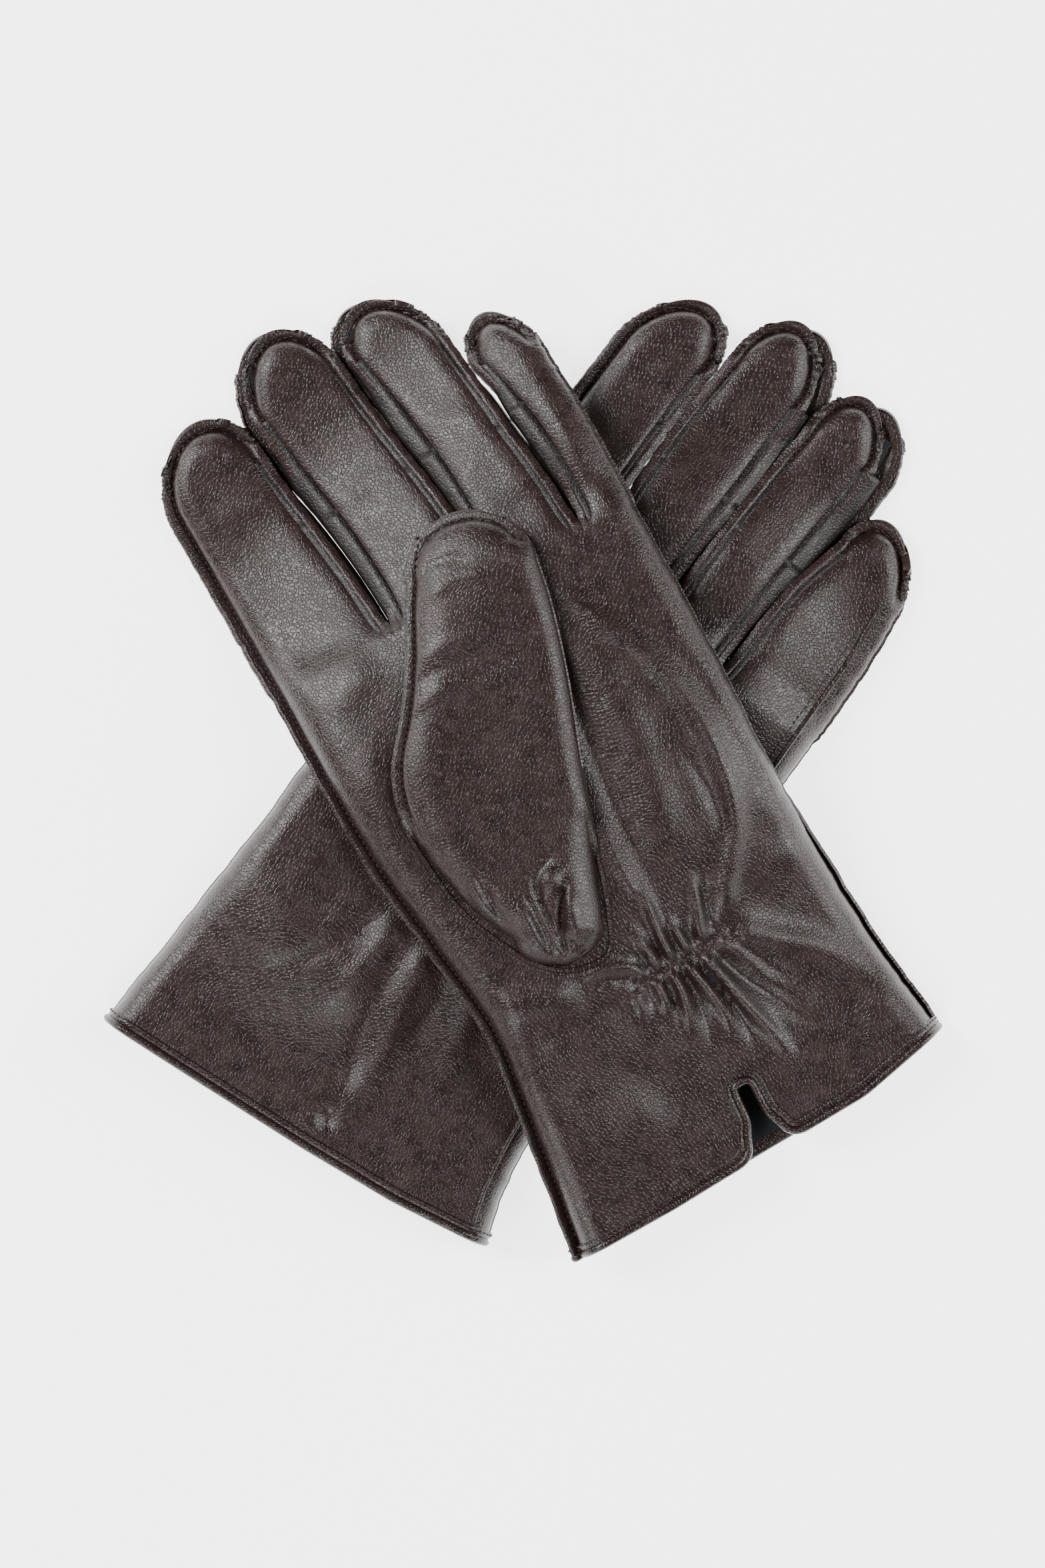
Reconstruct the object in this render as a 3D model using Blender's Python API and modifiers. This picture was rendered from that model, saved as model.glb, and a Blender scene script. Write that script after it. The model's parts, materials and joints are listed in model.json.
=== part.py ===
"""A crossed pair of leather dress gloves, lying flat: the right glove on the table with its back up
and its thumb folded under the palm, and the left glove across it with its palm and thumb up.

Each glove is drawn in its own plan, in millimetres: +x towards the little finger, +y from the hem to
the fingertips, z up. Four strips, one for each finger, run side by side from the hem to the
fingertips. A point of a strip has s, 0 to 1 across it, and v along it: 0 at the hem, 1 at the line of
the finger crotches, 2 at the finger's shoulder and 3 at its tip.
"""

import math

import bmesh
import bpy
from mathutils import Matrix, Vector

MM = 0.001

# Driving dimensions, in millimetres.
LEATHER = 0.9
LINING = 0.5
ELASTIC = 0.6
CLEARANCE = 0.3
HAND_HALF = 5.0  # half the thickness of the hand, lying slack
CUFF_HALF = 6.2  # at the hem, where the mouth stands a little open
FINGER_HALF = 3.5
THUMB_HALF = 3.2
SEAM_HALF = LEATHER + CLEARANCE / 2  # where palm and back meet at a seam
WELD = 0.3  # neighbouring patches meet within this distance
SEAM_EDGE = 2.0  # width of the sewn edge that stands out of a seam
ROUND_SIDE = 8.0  # the hand's side rounds off over this width
ROUND_GAP = 6.0
GAP_DROP = 0.6  # how much lower a finger is at its side than on its crown
CROTCH_Y = 160.0
BOTTOM_SAG = 0.35  # the share of a rounded side's rise that shows underneath
PALM_LINING_DEPTH = LEATHER + 2 * CLEARANCE + ELASTIC + 0.1
BACK_LINING_DEPTH = LEATHER + CLEARANCE + 0.1

# The hem centres lie this far either side of a middle, which is a little off the pair's own middle.
HEM_SPREAD = 60.0
HEM_MIDDLE = (0.5, -92.05)

FINGERS = ("index", "middle", "ring", "little")

# The thumb's own plan: its base point, its lean towards the little finger, and its borders (u across,
# w along). The free length bends up from the palm at THUMB_ROOT.
THUMB_BASE = (-21.0, 62.0)
THUMB_LEAN = math.radians(15.5)
THUMB_LEFT = (
    (-14, 10), (-23, 21), (-31, 37), (-34, 50), (-33, 61), (-28, 73), (-23.5, 87), (-21, 99), (-19, 106),
)
THUMB_RIGHT = ((12, 10), (13, 27), (14, 50), (15.6, 75), (15.6, 94), (14.5, 106))
THUMB_TIP = (-2.5, 121.3)
THUMB_ROOT = 49.5
THUMB_GAP = 0.35  # between the thumb and the palm that it lies on
THUMB_SIDE = 9.0  # the thumb's sides round off over this width
THUMB_OPENING = {"centre": (-7.0, 27.0), "half": (12.0, 17.0)}

VENT = {"centre_x": 3.0, "width": 9.0, "top": 15.0}
VENT_ARCH = (0.8, 1.57, 2.34)  # the binding's points round the top of the vent, as angles
WRIST_ELASTIC = (0.31, 0.35)  # the v of its two edges
BINDING_RADIUS = 0.9
BINDING_CORNER = 0.8  # how far the binding stands out where it turns at the sides
FOURCHETTE_DEPTH = LEATHER + CLEARANCE + 0.6  # its edges stand this far under the skins, which slope there
FORK_SET_BACK = 0.4  # behind the sewn edge at a crotch

LEFT = {
    "name": "left",
    "hem_at": (HEM_MIDDLE[0] + HEM_SPREAD, HEM_MIDDLE[1]),
    "turn": math.radians(28.4),
    "palm_up": True,
    "hem_y": (-6.5, -6.3, -5.0, -4.0, 1.5),
    "hem_x": (-27.0, 3.0, 31.0),
    "crotch_x": (-20.0, 9.3, 36.0),
    "outer": (
        ((-56.5, -6.5), (-53.5, 15), (-51, 35), (-48.7, 57), (-51.5, 82), (-54.8, 108), (-55.7, 135),
         (-56, 160), (-57, 195), (-57.5, 214)),
        ((56, 1.5), (53, 20), (51, 40), (50, 62), (49.8, 92), (50.5, 120), (50.3, 160), (50, 185), (49, 208)),
    ),
    "gaps": (
        (((-20, 160), (-21.8, 165), (-23.2, 178), (-25.3, 192), (-27.4, 206), (-28.9, 218)),
         ((-20, 160), (-18.4, 165), (-18.8, 180), (-20.6, 195), (-23.4, 210), (-25.8, 226))),
        (((9.3, 160), (8.0, 165), (7.6, 180), (5.6, 195), (3.0, 210), (0.6, 228)),
         ((9.3, 160), (10.8, 165), (10.6, 180), (9.8, 195), (7.4, 212), (3.9, 229))),
        (((36, 160), (34.5, 165), (33.4, 178), (31.6, 192), (30.0, 207), (28.4, 222)),
         ((36, 160), (37.4, 165), (37.5, 180), (36.6, 192), (34.4, 203), (32.0, 212))),
    ),
    "tips": ((-42.5, 233.5), (-13, 245.5), (15.5, 240.5), (40.5, 222.5)),
    "bend_y": (196.0, 196.0, 196.0, 196.0),
}
RIGHT = {
    "name": "right",
    "hem_at": (HEM_MIDDLE[0] - HEM_SPREAD, HEM_MIDDLE[1]),
    "turn": math.radians(-33.0),
    "palm_up": False,
    "hem_y": (-1.5, -1.3, -1.0, 0.0, 3.0),
    "hem_x": (-27.0, 3.0, 30.0),
    "crotch_x": (-19.5, 4.6, 27.2),
    "outer": (
        ((-58, -1.5), (-56.5, 15), (-54.8, 32), (-52.5, 55), (-51, 75), (-50.5, 92), (-50.5, 125),
         (-49, 160), (-46, 190), (-44.2, 208), (-43.3, 222)),
        ((57, 3), (53.8, 15), (52, 32), (51.5, 60), (53, 90), (56, 125), (57.6, 160), (58.6, 182), (58, 200)),
    ),
    "gaps": (
        (((-19.5, 160), (-20.8, 165), (-20.5, 185), (-19.9, 205), (-18.2, 226)),
         ((-19.5, 160), (-18.0, 165), (-17.8, 190), (-17.0, 212), (-14.9, 233))),
        (((4.6, 160), (3.2, 165), (4.4, 185), (6.0, 205), (7.8, 232)),
         ((4.6, 160), (6.1, 165), (7.8, 190), (9.6, 210), (12, 229))),
        (((27.2, 160), (25.8, 165), (27.6, 188), (29.8, 206), (32.0, 228)),
         ((27.2, 160), (28.7, 165), (30.0, 182), (32.0, 195), (36, 208))),
    ),
    "tips": ((-28.5, 241.3), (-3.5, 250.8), (21.5, 243.5), (46.5, 218.5)),
    "bend_y": (208.0, 201.0, 196.0, 184.0),
}

# Where the gloves carry each other. The right glove rises over its thumb, and the left glove lies
# over the right one like a cloth over a ridge and comes down to the table on both sides.
THUMB_LIFT = 2 * THUMB_HALF + 0.8
LIFT_RADIUS, LIFT_FALL = 30.0, 34.0
RIDGE_TOP = THUMB_LIFT + 2 * HAND_HALF + 1.0
RIDGE_FOOT = 0.0
RIDGE_HALF, RIDGE_FALL = 30.0, 74.0


def smooth(t):
    t = min(1.0, max(0.0, t))
    return t * t * (3 - 2 * t)


def mix(a, b, t):
    return a + (b - a) * t


def rounded(t):
    """A quarter of an ellipse: 0 at the edge, 1 where the surface is level."""
    t = min(1.0, max(0.0, t))
    return math.sqrt(1 - (1 - t) ** 2)


def border_x(points, y):
    """The x of a border at height y, on a smooth curve through its points."""
    first = 0
    while first < len(points) - 2 and y > points[first + 1][1]:
        first += 1

    def slope(k):
        below, above = points[max(k - 1, 0)], points[min(k + 1, len(points) - 1)]
        return (above[0] - below[0]) / (above[1] - below[1])

    (x0, y0), (x1, y1) = points[first], points[first + 1]
    span = y1 - y0
    t = (y - y0) / span
    return (
        (2 * t**3 - 3 * t**2 + 1) * x0
        + (t**3 - 2 * t**2 + t) * span * slope(first)
        + (3 * t**2 - 2 * t**3) * x1
        + (t**3 - t**2) * span * slope(first + 1)
    )


def border_point(glove, strip, right, v):
    """The plan point on a strip's left or right border, for v up to 2."""
    line = strip + right
    if line in (0, 4):
        points = glove["outer"][line // 4]
    else:
        points = glove["gaps"][line - 1][0 if right else 1]
    if v > 1:
        y = mix(CROTCH_Y, points[-1][1], v - 1)
        return Vector((border_x(points, y), y))
    y = mix(glove["hem_y"][line], CROTCH_Y, v)
    if line in (0, 4):
        return Vector((border_x(points, y), y))
    return Vector((mix(glove["hem_x"][line - 1], glove["crotch_x"][line - 1], v), y))


def round_end(across, along):
    """Maps the square across -1..1, along 0..1 onto a half disc, level at along 0."""
    return across * math.sqrt(1 - along**2 / 2), along * math.sqrt(1 - across**2 / 2)


def full_half(v):
    """Half the thickness on the crown: fullest at the cuff's mouth and thinnest in the fingers."""
    hand = mix(CUFF_HALF, HAND_HALF, smooth(v / 0.4))
    return mix(hand, FINGER_HALF, smooth((v - 0.94) / 0.3))


def strip_point(glove, strip, s, v):
    """The plan point at (s, v) of a strip and half the glove's thickness there."""
    left = border_point(glove, strip, 0, min(v, 2))
    right = border_point(glove, strip, 1, min(v, 2))
    half_width = (right - left).length / 2
    full = full_half(v)
    towards_tip = 0.0
    if v <= 2:
        point = left.lerp(right, s)
        to_left, to_right = 2 * half_width * s, 2 * half_width * (1 - s)
    else:
        middle = (left + right) / 2
        tip = Vector(glove["tips"][strip])
        a, b = round_end(2 * s - 1, v - 2)
        point = middle + (right - left) / 2 * a + (tip - middle) * b
        rim = (1 - min(1.0, math.hypot(a, b))) * min(half_width, (tip - middle).length)
        to_left = to_right = rim
        towards_tip = smooth(b)

    def at_seam(d):
        return mix(SEAM_HALF, full, rounded((d - SEAM_EDGE) / ROUND_SIDE))

    def at_gap(d):
        return full - GAP_DROP * (1 - rounded(d / ROUND_GAP)) * smooth((v - 1) / 0.08)

    left_half = at_seam(to_left) if strip == 0 else at_gap(to_left)
    right_half = at_seam(to_right) if strip == 3 else at_gap(to_right)
    half = min(left_half, right_half)
    if towards_tip:
        half = mix(half, at_seam(min(to_left, to_right)), towards_tip)
    return point, half


def to_world(glove, x, y):
    turn = glove["turn"]
    hem_x, hem_y = glove["hem_at"]
    return (
        hem_x + x * math.cos(turn) - y * math.sin(turn),
        hem_y + x * math.sin(turn) + y * math.cos(turn),
    )


def thumb_to_plan(u, w):
    lean = THUMB_LEAN
    return (
        THUMB_BASE[0] + u * math.cos(lean) + w * math.sin(lean),
        THUMB_BASE[1] - u * math.sin(lean) + w * math.cos(lean),
    )


def rest_height(glove, x, y):
    """The height of the surface that the glove lies on, under plan point (x, y)."""
    if glove["palm_up"]:
        wx, wy = to_world(glove, x, y)
        turn = RIGHT["turn"]
        off_axis = (wx - RIGHT["hem_at"][0]) * math.cos(turn) + (wy - RIGHT["hem_at"][1]) * math.sin(turn)
        return mix(RIDGE_TOP, RIDGE_FOOT, smooth((abs(off_axis) - RIDGE_HALF) / RIDGE_FALL))
    low, high = Vector(thumb_to_plan(-6, 15)), Vector(thumb_to_plan(-5, 100))
    at = Vector((x, y))
    along = min(1.0, max(0.0, (at - low).dot(high - low) / (high - low).length_squared))
    away = (at - low.lerp(high, along)).length
    return THUMB_LIFT * (1 - smooth((away - LIFT_RADIUS) / LIFT_FALL))


def skin_point(glove, strip, s, v, up, depth=0.0):
    """A point on the glove's upper or lower skin, or at a depth inside it."""
    at, half = strip_point(glove, strip, s, v)
    under = rest_height(glove, at.x, at.y) + BOTTOM_SAG * (full_half(v) - half)
    z = under + 2 * half - depth if up else under + depth
    return Vector((at.x, at.y, z))


def inside(point_at, s, v, up, depth):
    """The point at a depth square to the skin, under the point at (s, v)."""
    step = 0.02
    low, high = max(0.0, s - step), min(1.0, s + step)
    across = point_at(high, v, up) - point_at(low, v, up)
    along = point_at(s, v + step, up) - point_at(s, v - step, up)
    square = across.cross(along).normalized()
    if (square.z > 0) == up:
        square = -square
    return point_at(s, v, up) + square * depth


def thumb_point(glove, s, w_share, outer):
    """A point of the thumb: s across, w_share 0 at its foot, 1 at its shoulder, 2 at its tip."""
    shoulder = THUMB_LEFT[-1][1]
    w = min(w_share, 1.0) * shoulder
    foot_w = THUMB_LEFT[0][1]
    left, right = (
        Vector((border_x(line, max(w, foot_w)), w)) for line in (THUMB_LEFT, THUMB_RIGHT)
    )
    half_width = (right.x - left.x) / 2
    middle = (left + right) / 2
    if w_share > 1:
        a, b = round_end(2 * s - 1, w_share - 1)
        at = middle + (right - left) / 2 * a + (Vector(THUMB_TIP) - middle) * b
        rim = (1 - min(1.0, math.hypot(a, b))) * min(half_width, THUMB_TIP[1] - shoulder)
    else:
        narrow = rounded(w / foot_w) if w < foot_w else 1.0
        at = middle.lerp(left.lerp(right, s), narrow)
        rim = half_width * narrow * (1 - abs(2 * s - 1))
    full = THUMB_HALF
    half = mix(SEAM_HALF, full, rounded(rim / THUMB_SIDE))
    x, y = thumb_to_plan(at.x, at.y)
    sag = BOTTOM_SAG * (full - half)
    if glove["palm_up"]:
        low = rest_height(glove, x, y) + 2 * HAND_HALF + THUMB_GAP + sag
        return Vector((x, y, low + 2 * half if outer else low))
    top = 2 * THUMB_HALF - sag
    return Vector((x, y, top - 2 * half if outer else top))


# ---------------------------------------------------------------- the scene, materials and helpers


def clear_scene():
    for obj in list(bpy.data.objects):
        bpy.data.objects.remove(obj, do_unlink=True)


def material(name, colour, roughness):
    made = bpy.data.materials.new(name)
    made.use_nodes = True
    shader = made.node_tree.nodes["Principled BSDF"]
    shader.inputs["Base Color"].default_value = (*colour, 1)
    shader.inputs["Roughness"].default_value = roughness
    shader.inputs["Metallic"].default_value = 0.0
    return made


def empty(name, parent, location, turn=0.0):
    made = bpy.data.objects.new(name, None)
    COLLECTION.objects.link(made)
    made.parent = parent
    made.location = Vector(location) * MM
    made.rotation_euler.z = turn
    return made


def place(name, mesh, finish, holder):
    """Makes the node: its mesh, drawn in the glove's plan, hangs on its glove or on a joint's empty."""
    obj = bpy.data.objects.new(name, mesh)
    COLLECTION.objects.link(obj)
    mesh.materials.append(finish)
    mesh.transform(Matrix.Translation(-Vector(holder["at"])))
    mesh.transform(Matrix.Scale(MM, 4))
    obj.parent = holder["empty"]
    return obj


def solidify(obj, thickness, offset):
    wall = obj.modifiers.new("thickness", "SOLIDIFY")
    wall.thickness = thickness * MM
    wall.offset = offset


def add_grid(bm, columns, rows, point_at):
    """Adds a grid whose vertices are placed by point_at(column, row), and returns them by row."""
    cells = bmesh.ops.create_grid(bm, x_segments=len(columns) - 1, y_segments=len(rows) - 1, size=0.5)
    by_row = {}
    for vert in cells["verts"]:
        column = round((vert.co.x + 0.5) * (len(columns) - 1))
        row = round((vert.co.y + 0.5) * (len(rows) - 1))
        vert.co = point_at(columns[column], rows[row])
        by_row[column, row] = vert
    return by_row


def finished_mesh(bm, name):
    bmesh.ops.remove_doubles(bm, verts=bm.verts, dist=WELD)
    mesh = bpy.data.meshes.new(name)
    bm.to_mesh(mesh)
    bm.free()
    return mesh


def sheet(name, patches, thickness, up, finish, holder):
    """A leather or lining sheet: patches of (columns, rows, point function), given its thickness inwards."""
    bm = bmesh.new()
    for columns, rows, point_at in patches:
        add_grid(bm, columns, rows, point_at)
    if not up:
        bmesh.ops.reverse_faces(bm, faces=bm.faces)
    obj = place(name, finished_mesh(bm, name), finish, holder)
    solidify(obj, thickness, -1)
    return obj


def pocket(name, columns, rows, point_at, thickness, finish, holder):
    """A flat tube closed at its far end: an upper and a lower sheet joined along their sides and tip."""
    bm = bmesh.new()
    chains = []
    for up in (True, False):
        grid = add_grid(bm, columns, rows, lambda s, v, up=up: point_at(s, v, up))
        last_column, last_row = len(columns) - 1, len(rows) - 1
        chain = [grid[0, r] for r in range(last_row)]
        chain += [grid[c, last_row] for c in range(last_column + 1)]
        chain += [grid[last_column, r] for r in reversed(range(last_row))]
        chains.append(chain)
        if not up:
            lower = {f for vert in grid.values() for f in vert.link_faces}
            bmesh.ops.reverse_faces(bm, faces=list(lower))
    edges = [bm.edges.get(pair) for chain in chains for pair in zip(chain, chain[1:])]
    bmesh.ops.bridge_loops(bm, edges=edges)
    bmesh.ops.recalc_face_normals(bm, faces=bm.faces)
    obj = place(name, finished_mesh(bm, name), finish, holder)
    solidify(obj, thickness, -1)
    return obj


def cut(obj, cutter):
    hole = obj.modifiers.new("cut " + cutter.name, "BOOLEAN")
    hole.operation = "DIFFERENCE"
    hole.object = cutter


def cutter(name, glove_frame, location, half, turn, tail=0.0):
    """An upright elliptic prism with a straight tail towards the hem, kept as a hidden helper."""
    bm = bmesh.new()
    bmesh.ops.create_cone(bm, cap_ends=True, segments=20, radius1=1, radius2=1, depth=2)
    mesh = bpy.data.meshes.new(name)
    bmesh.ops.scale(bm, vec=Vector(half) * MM, verts=bm.verts)
    for vert in bm.verts:
        if vert.co.y < 0:
            vert.co.y -= tail * MM
    bm.to_mesh(mesh)
    bm.free()
    obj = bpy.data.objects.new(name, mesh)
    CUTTERS.objects.link(obj)
    obj.parent = glove_frame
    obj.location = Vector(location) * MM
    obj.rotation_euler.z = turn
    obj.hide_render = True
    obj.display_type = "WIRE"
    return obj


# ---------------------------------------------------------------- the pieces of a glove


def bend_v(glove, finger):
    """Where along a finger's strip it bends."""
    left_top = border_shoulder(glove, finger, 0)
    right_top = border_shoulder(glove, finger, 1)
    return 1 + (glove["bend_y"][finger] - CROTCH_Y) / ((left_top + right_top) / 2 - CROTCH_Y)


def border_shoulder(glove, strip, right):
    return border_point(glove, strip, right, 2).y


def axis_over(left, right):
    """The ends of a bend's axis, which lies just over the line from left to right."""
    over = Vector((0, 0, CLEARANCE))
    return left + over, right + over


def finger_axis(glove, finger):
    bend = bend_v(glove, finger)
    left, right = (skin_point(glove, finger, s, bend, True) for s in leather_columns(finger)[1::2])
    return axis_over(left, right)


def thumb_axis(glove):
    """Over the thumb of a glove whose palm is up, and under the thumb of the other."""
    w_share = THUMB_ROOT / THUMB_LEFT[-1][1]
    left, right = (thumb_point(glove, s, w_share, True) for s in (0.3, 0.7))
    if glove["palm_up"]:
        return axis_over(left, right)
    over = Vector((0, 0, CLEARANCE))
    return left - over, right - over


def shares(start, end, count):
    return [mix(start, end, k / count) for k in range(count + 1)]


HALF_GAP = 0.004  # in v: about 0.2 mm either side of a finger's bend
SIDE_SHARE = (0.18, 0.18, 0.18, 0.28)  # how far in from its sides a strip's lining stops
HAND_ROWS = (0.0, 0.1, 0.2, *WRIST_ELASTIC, 0.48, 0.62, 0.76, 0.88)


def leather_columns(strip):
    side = SIDE_SHARE[strip]
    return [0.0, side, 0.5, 1 - side, 1.0]


def lining_columns(strip):
    return leather_columns(strip)[1:-1]


def root_rows(glove, finger):
    return shares(1.0, bend_v(glove, finger) - HALF_GAP, 3)


def finger_rows(glove, finger):
    start = bend_v(glove, finger) + HALF_GAP
    return [start, mix(start, 2, 0.55), 2.0, 2.35, 2.65, 2.88, 3.0]


def hand_patches(glove, up, columns, rows_of, depth):
    """Four patches, one for each strip, at a depth under the skin."""

    def skin(strip):
        return lambda s, v, side: skin_point(glove, strip, s, v, side)

    def at_depth(strip):
        if not depth:
            return lambda s, v: skin_point(glove, strip, s, v, up)
        return lambda s, v: inside(skin(strip), s, v, up, depth)

    return [(columns(strip), rows_of(strip), at_depth(strip)) for strip in range(4)]


def hand_panel(glove, side, up, finish, holder):
    """The palm or the back, with the four finger roots, cut as one piece."""

    def rows_of(strip):
        return [*HAND_ROWS, *root_rows(glove, strip)]

    patches = hand_patches(glove, up, leather_columns, rows_of, 0)
    return sheet(f"{glove['name']}_{side}", patches, LEATHER, up, finish, holder)


def hand_lining(glove, side, up, depth, finish, holder):
    """The lining's palm or back half: it stops short of the seams, and narrows into each finger."""

    def hand_columns(strip):
        columns = leather_columns(strip)
        if strip == 0:
            columns = columns[1:]
        if strip == 3:
            columns = columns[:-1]
        return columns

    def hand_rows(strip):
        return [0.02, *HAND_ROWS[1:]]

    patches = hand_patches(glove, up, hand_columns, hand_rows, depth)
    throat = HAND_ROWS[-1]
    patches += hand_patches(glove, up, lining_columns, lambda s: [throat, 1.0], depth)
    patches += hand_patches(glove, up, lining_columns, lambda f: root_rows(glove, f), depth)
    return sheet(f"{glove['name']}_{side}_lining", patches, LINING, up, finish, holder)


def finger_leather(glove, finger, side, up, finish, holder):
    rows = finger_rows(glove, finger)
    patch = (leather_columns(finger), rows, lambda s, v: skin_point(glove, finger, s, v, up))
    return sheet(f"{glove['name']}_{FINGERS[finger]}_{side}", [patch], LEATHER, up, finish, holder)


def finger_lining(glove, finger, finish, holder):
    def skin(s, v, up):
        return skin_point(glove, finger, s, v, up)

    def point_at(s, v, up):
        return inside(skin, s, v, up, BACK_LINING_DEPTH)

    rows = finger_rows(glove, finger)[:-2]
    name = f"{glove['name']}_{FINGERS[finger]}_lining"
    return pocket(name, lining_columns(finger), rows, point_at, LINING, finish, holder)


def wall_point(glove, finger, right, v, high):
    """A point on the top or bottom edge of a fourchette, which stands inside its seams."""
    left_at = border_point(glove, finger, 0, v)
    right_at = border_point(glove, finger, 1, v)
    inset = (SEAM_EDGE + LEATHER / 2) / (right_at - left_at).length
    s = 1 - inset if right else inset
    return skin_point(glove, finger, s, v, high, FOURCHETTE_DEPTH)


def ribbon(name, path, finish, holder):
    """A strip of leather on edge, along pairs of (lower, upper) points."""
    bm = bmesh.new()
    add_grid(bm, (0, 1), range(len(path)), lambda high, k: path[k][high])
    obj = place(name, finished_mesh(bm, name), finish, holder)
    solidify(obj, LEATHER, 0)
    return obj


def fork(glove, gap, finish, holder):
    """The forked root of a fourchette: down one finger's side, round the crotch and up the next."""
    down = [
        [wall_point(glove, gap, 1, v, high) for high in (False, True)]
        for v in reversed(root_rows(glove, gap))
    ]
    up = [
        [wall_point(glove, gap + 1, 0, v, high) for high in (False, True)]
        for v in root_rows(glove, gap + 1)
    ]
    drop = Vector((0, -SEAM_EDGE - FORK_SET_BACK, 0))
    turn = [(down[-1][high] + up[0][high]) / 2 + drop for high in (0, 1)]
    name = f"{glove['name']}_{FINGERS[gap]}_{FINGERS[gap + 1]}_fork"
    return ribbon(name, down + [turn] + up, finish, holder)


def fourchette(glove, finger, right, finish, holder):
    path = [
        [wall_point(glove, finger, right, v, high) for high in (False, True)]
        for v in finger_rows(glove, finger)[:3]
    ]
    side = "inner" if right else "outer"
    name = f"{glove['name']}_{FINGERS[finger]}_{side}_fourchette"
    return ribbon(name, path, finish, holder)


def thumb_mantle(glove, finish, holder):
    """The thumb's root, sewn round the opening in the palm and open towards the hand."""
    end = (THUMB_ROOT - 0.2) / THUMB_LEFT[-1][1]
    rows = [0.02, 0.06, 0.12, 0.22, 0.34, end]
    columns = (0, 0.12, 0.3, 0.5, 0.7, 0.88, 1)
    patch = (columns, rows, lambda s, v: thumb_point(glove, s, v, True))
    return sheet(f"{glove['name']}_thumb_root", [patch], LEATHER, glove["palm_up"], finish, holder)


def thumb_tube(glove, name, columns, rows, depth, thickness, finish, holder):
    palm_up = glove["palm_up"]

    def skin(s, v, up):
        return thumb_point(glove, s, v, up == palm_up)

    def point_at(s, v, up):
        return inside(skin, s, v, up, depth) if depth else skin(s, v, up)

    return pocket(name, columns, rows, point_at, thickness, finish, holder)


def wrist_elastic(glove, finish, holder):
    """It gathers the palm, over the two middle strips."""
    up = glove["palm_up"]
    depth = LEATHER + CLEARANCE
    patches = hand_patches(glove, up, leather_columns, lambda strip: WRIST_ELASTIC, depth)[1:3]
    left_part, right_part = patches
    patches = [(left_part[0][2:], *left_part[1:]), (right_part[0][:3], *right_part[1:])]
    return sheet(f"{glove['name']}_elastic", patches, ELASTIC, up, finish, holder)


def hem_point(glove, strip, s, palm):
    """Where the binding's middle runs, just outside the hem of the palm or of the back."""
    up = palm == glove["palm_up"]
    return skin_point(glove, strip, s, 0, up, BINDING_RADIUS) - Vector((0, CLEARANCE + BINDING_RADIUS, 0))


def vent_route(glove):
    """The binding's points up one side of the vent, over its round top and down the other side."""
    low = hem_point(glove, 1, 1, True)
    half = VENT["width"] / 2 - CLEARANCE - BINDING_RADIUS
    rise = VENT["top"] - VENT["width"] / 2
    straight = (low.y, rise - 6, rise)
    steps = [(-half, y) for y in straight]
    steps += [(-half * math.cos(a), rise + half * math.sin(a)) for a in VENT_ARCH]
    steps += [(half, y) for y in reversed(straight)]
    route = []
    for dx, y in steps:
        x = VENT["centre_x"] + dx
        drape = rest_height(glove, x, y) - rest_height(glove, low.x, low.y)
        route.append(Vector((x, y, low.z + drape)))
    return route


def hem_route(glove):
    """The binding's points round the whole mouth: along the palm, through the vent, and along the back."""
    clear_of_vent = VENT["width"] / 2 - CLEARANCE - BINDING_RADIUS + 2
    corner = Vector((BINDING_CORNER, 0, 0))
    left_corner = (hem_point(glove, 0, 0, True) + hem_point(glove, 0, 0, False)) / 2
    right_corner = (hem_point(glove, 3, 1, True) + hem_point(glove, 3, 1, False)) / 2
    route = [left_corner - corner]
    for strip in range(4):
        for s in (0, 0.35, 0.7) if strip else (0.35, 0.7):
            at = hem_point(glove, strip, s, True)
            if abs(at.x - VENT["centre_x"]) > clear_of_vent:
                route.append(at)
        if strip == 1:
            route += vent_route(glove)
    route.append(right_corner + corner)
    for strip in (3, 2, 1, 0):
        for s in (0.7, 0.35, 0) if strip else (0.7, 0.35):
            route.append(hem_point(glove, strip, s, False))
    return route


def hem_binding(glove, finish, holder):
    """A narrow strip of leather wrapped round the whole hem, up one side of the vent and down the other."""
    points = hem_route(glove)
    curve = bpy.data.curves.new("hem", "CURVE")
    curve.dimensions = "3D"
    curve.bevel_depth = BINDING_RADIUS
    curve.bevel_resolution = 1
    spline = curve.splines.new("POLY")
    spline.points.add(len(points) - 1)
    for target, at in zip(spline.points, points):
        target.co = (*at, 1)
    spline.use_cyclic_u = True
    route = bpy.data.objects.new("hem route", curve)
    COLLECTION.objects.link(route)
    graph = bpy.context.evaluated_depsgraph_get()
    mesh = bpy.data.meshes.new_from_object(route.evaluated_get(graph))
    bpy.data.objects.remove(route)
    mesh.materials.clear()
    return place(f"{glove['name']}_hem_binding", mesh, finish, holder)


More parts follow.
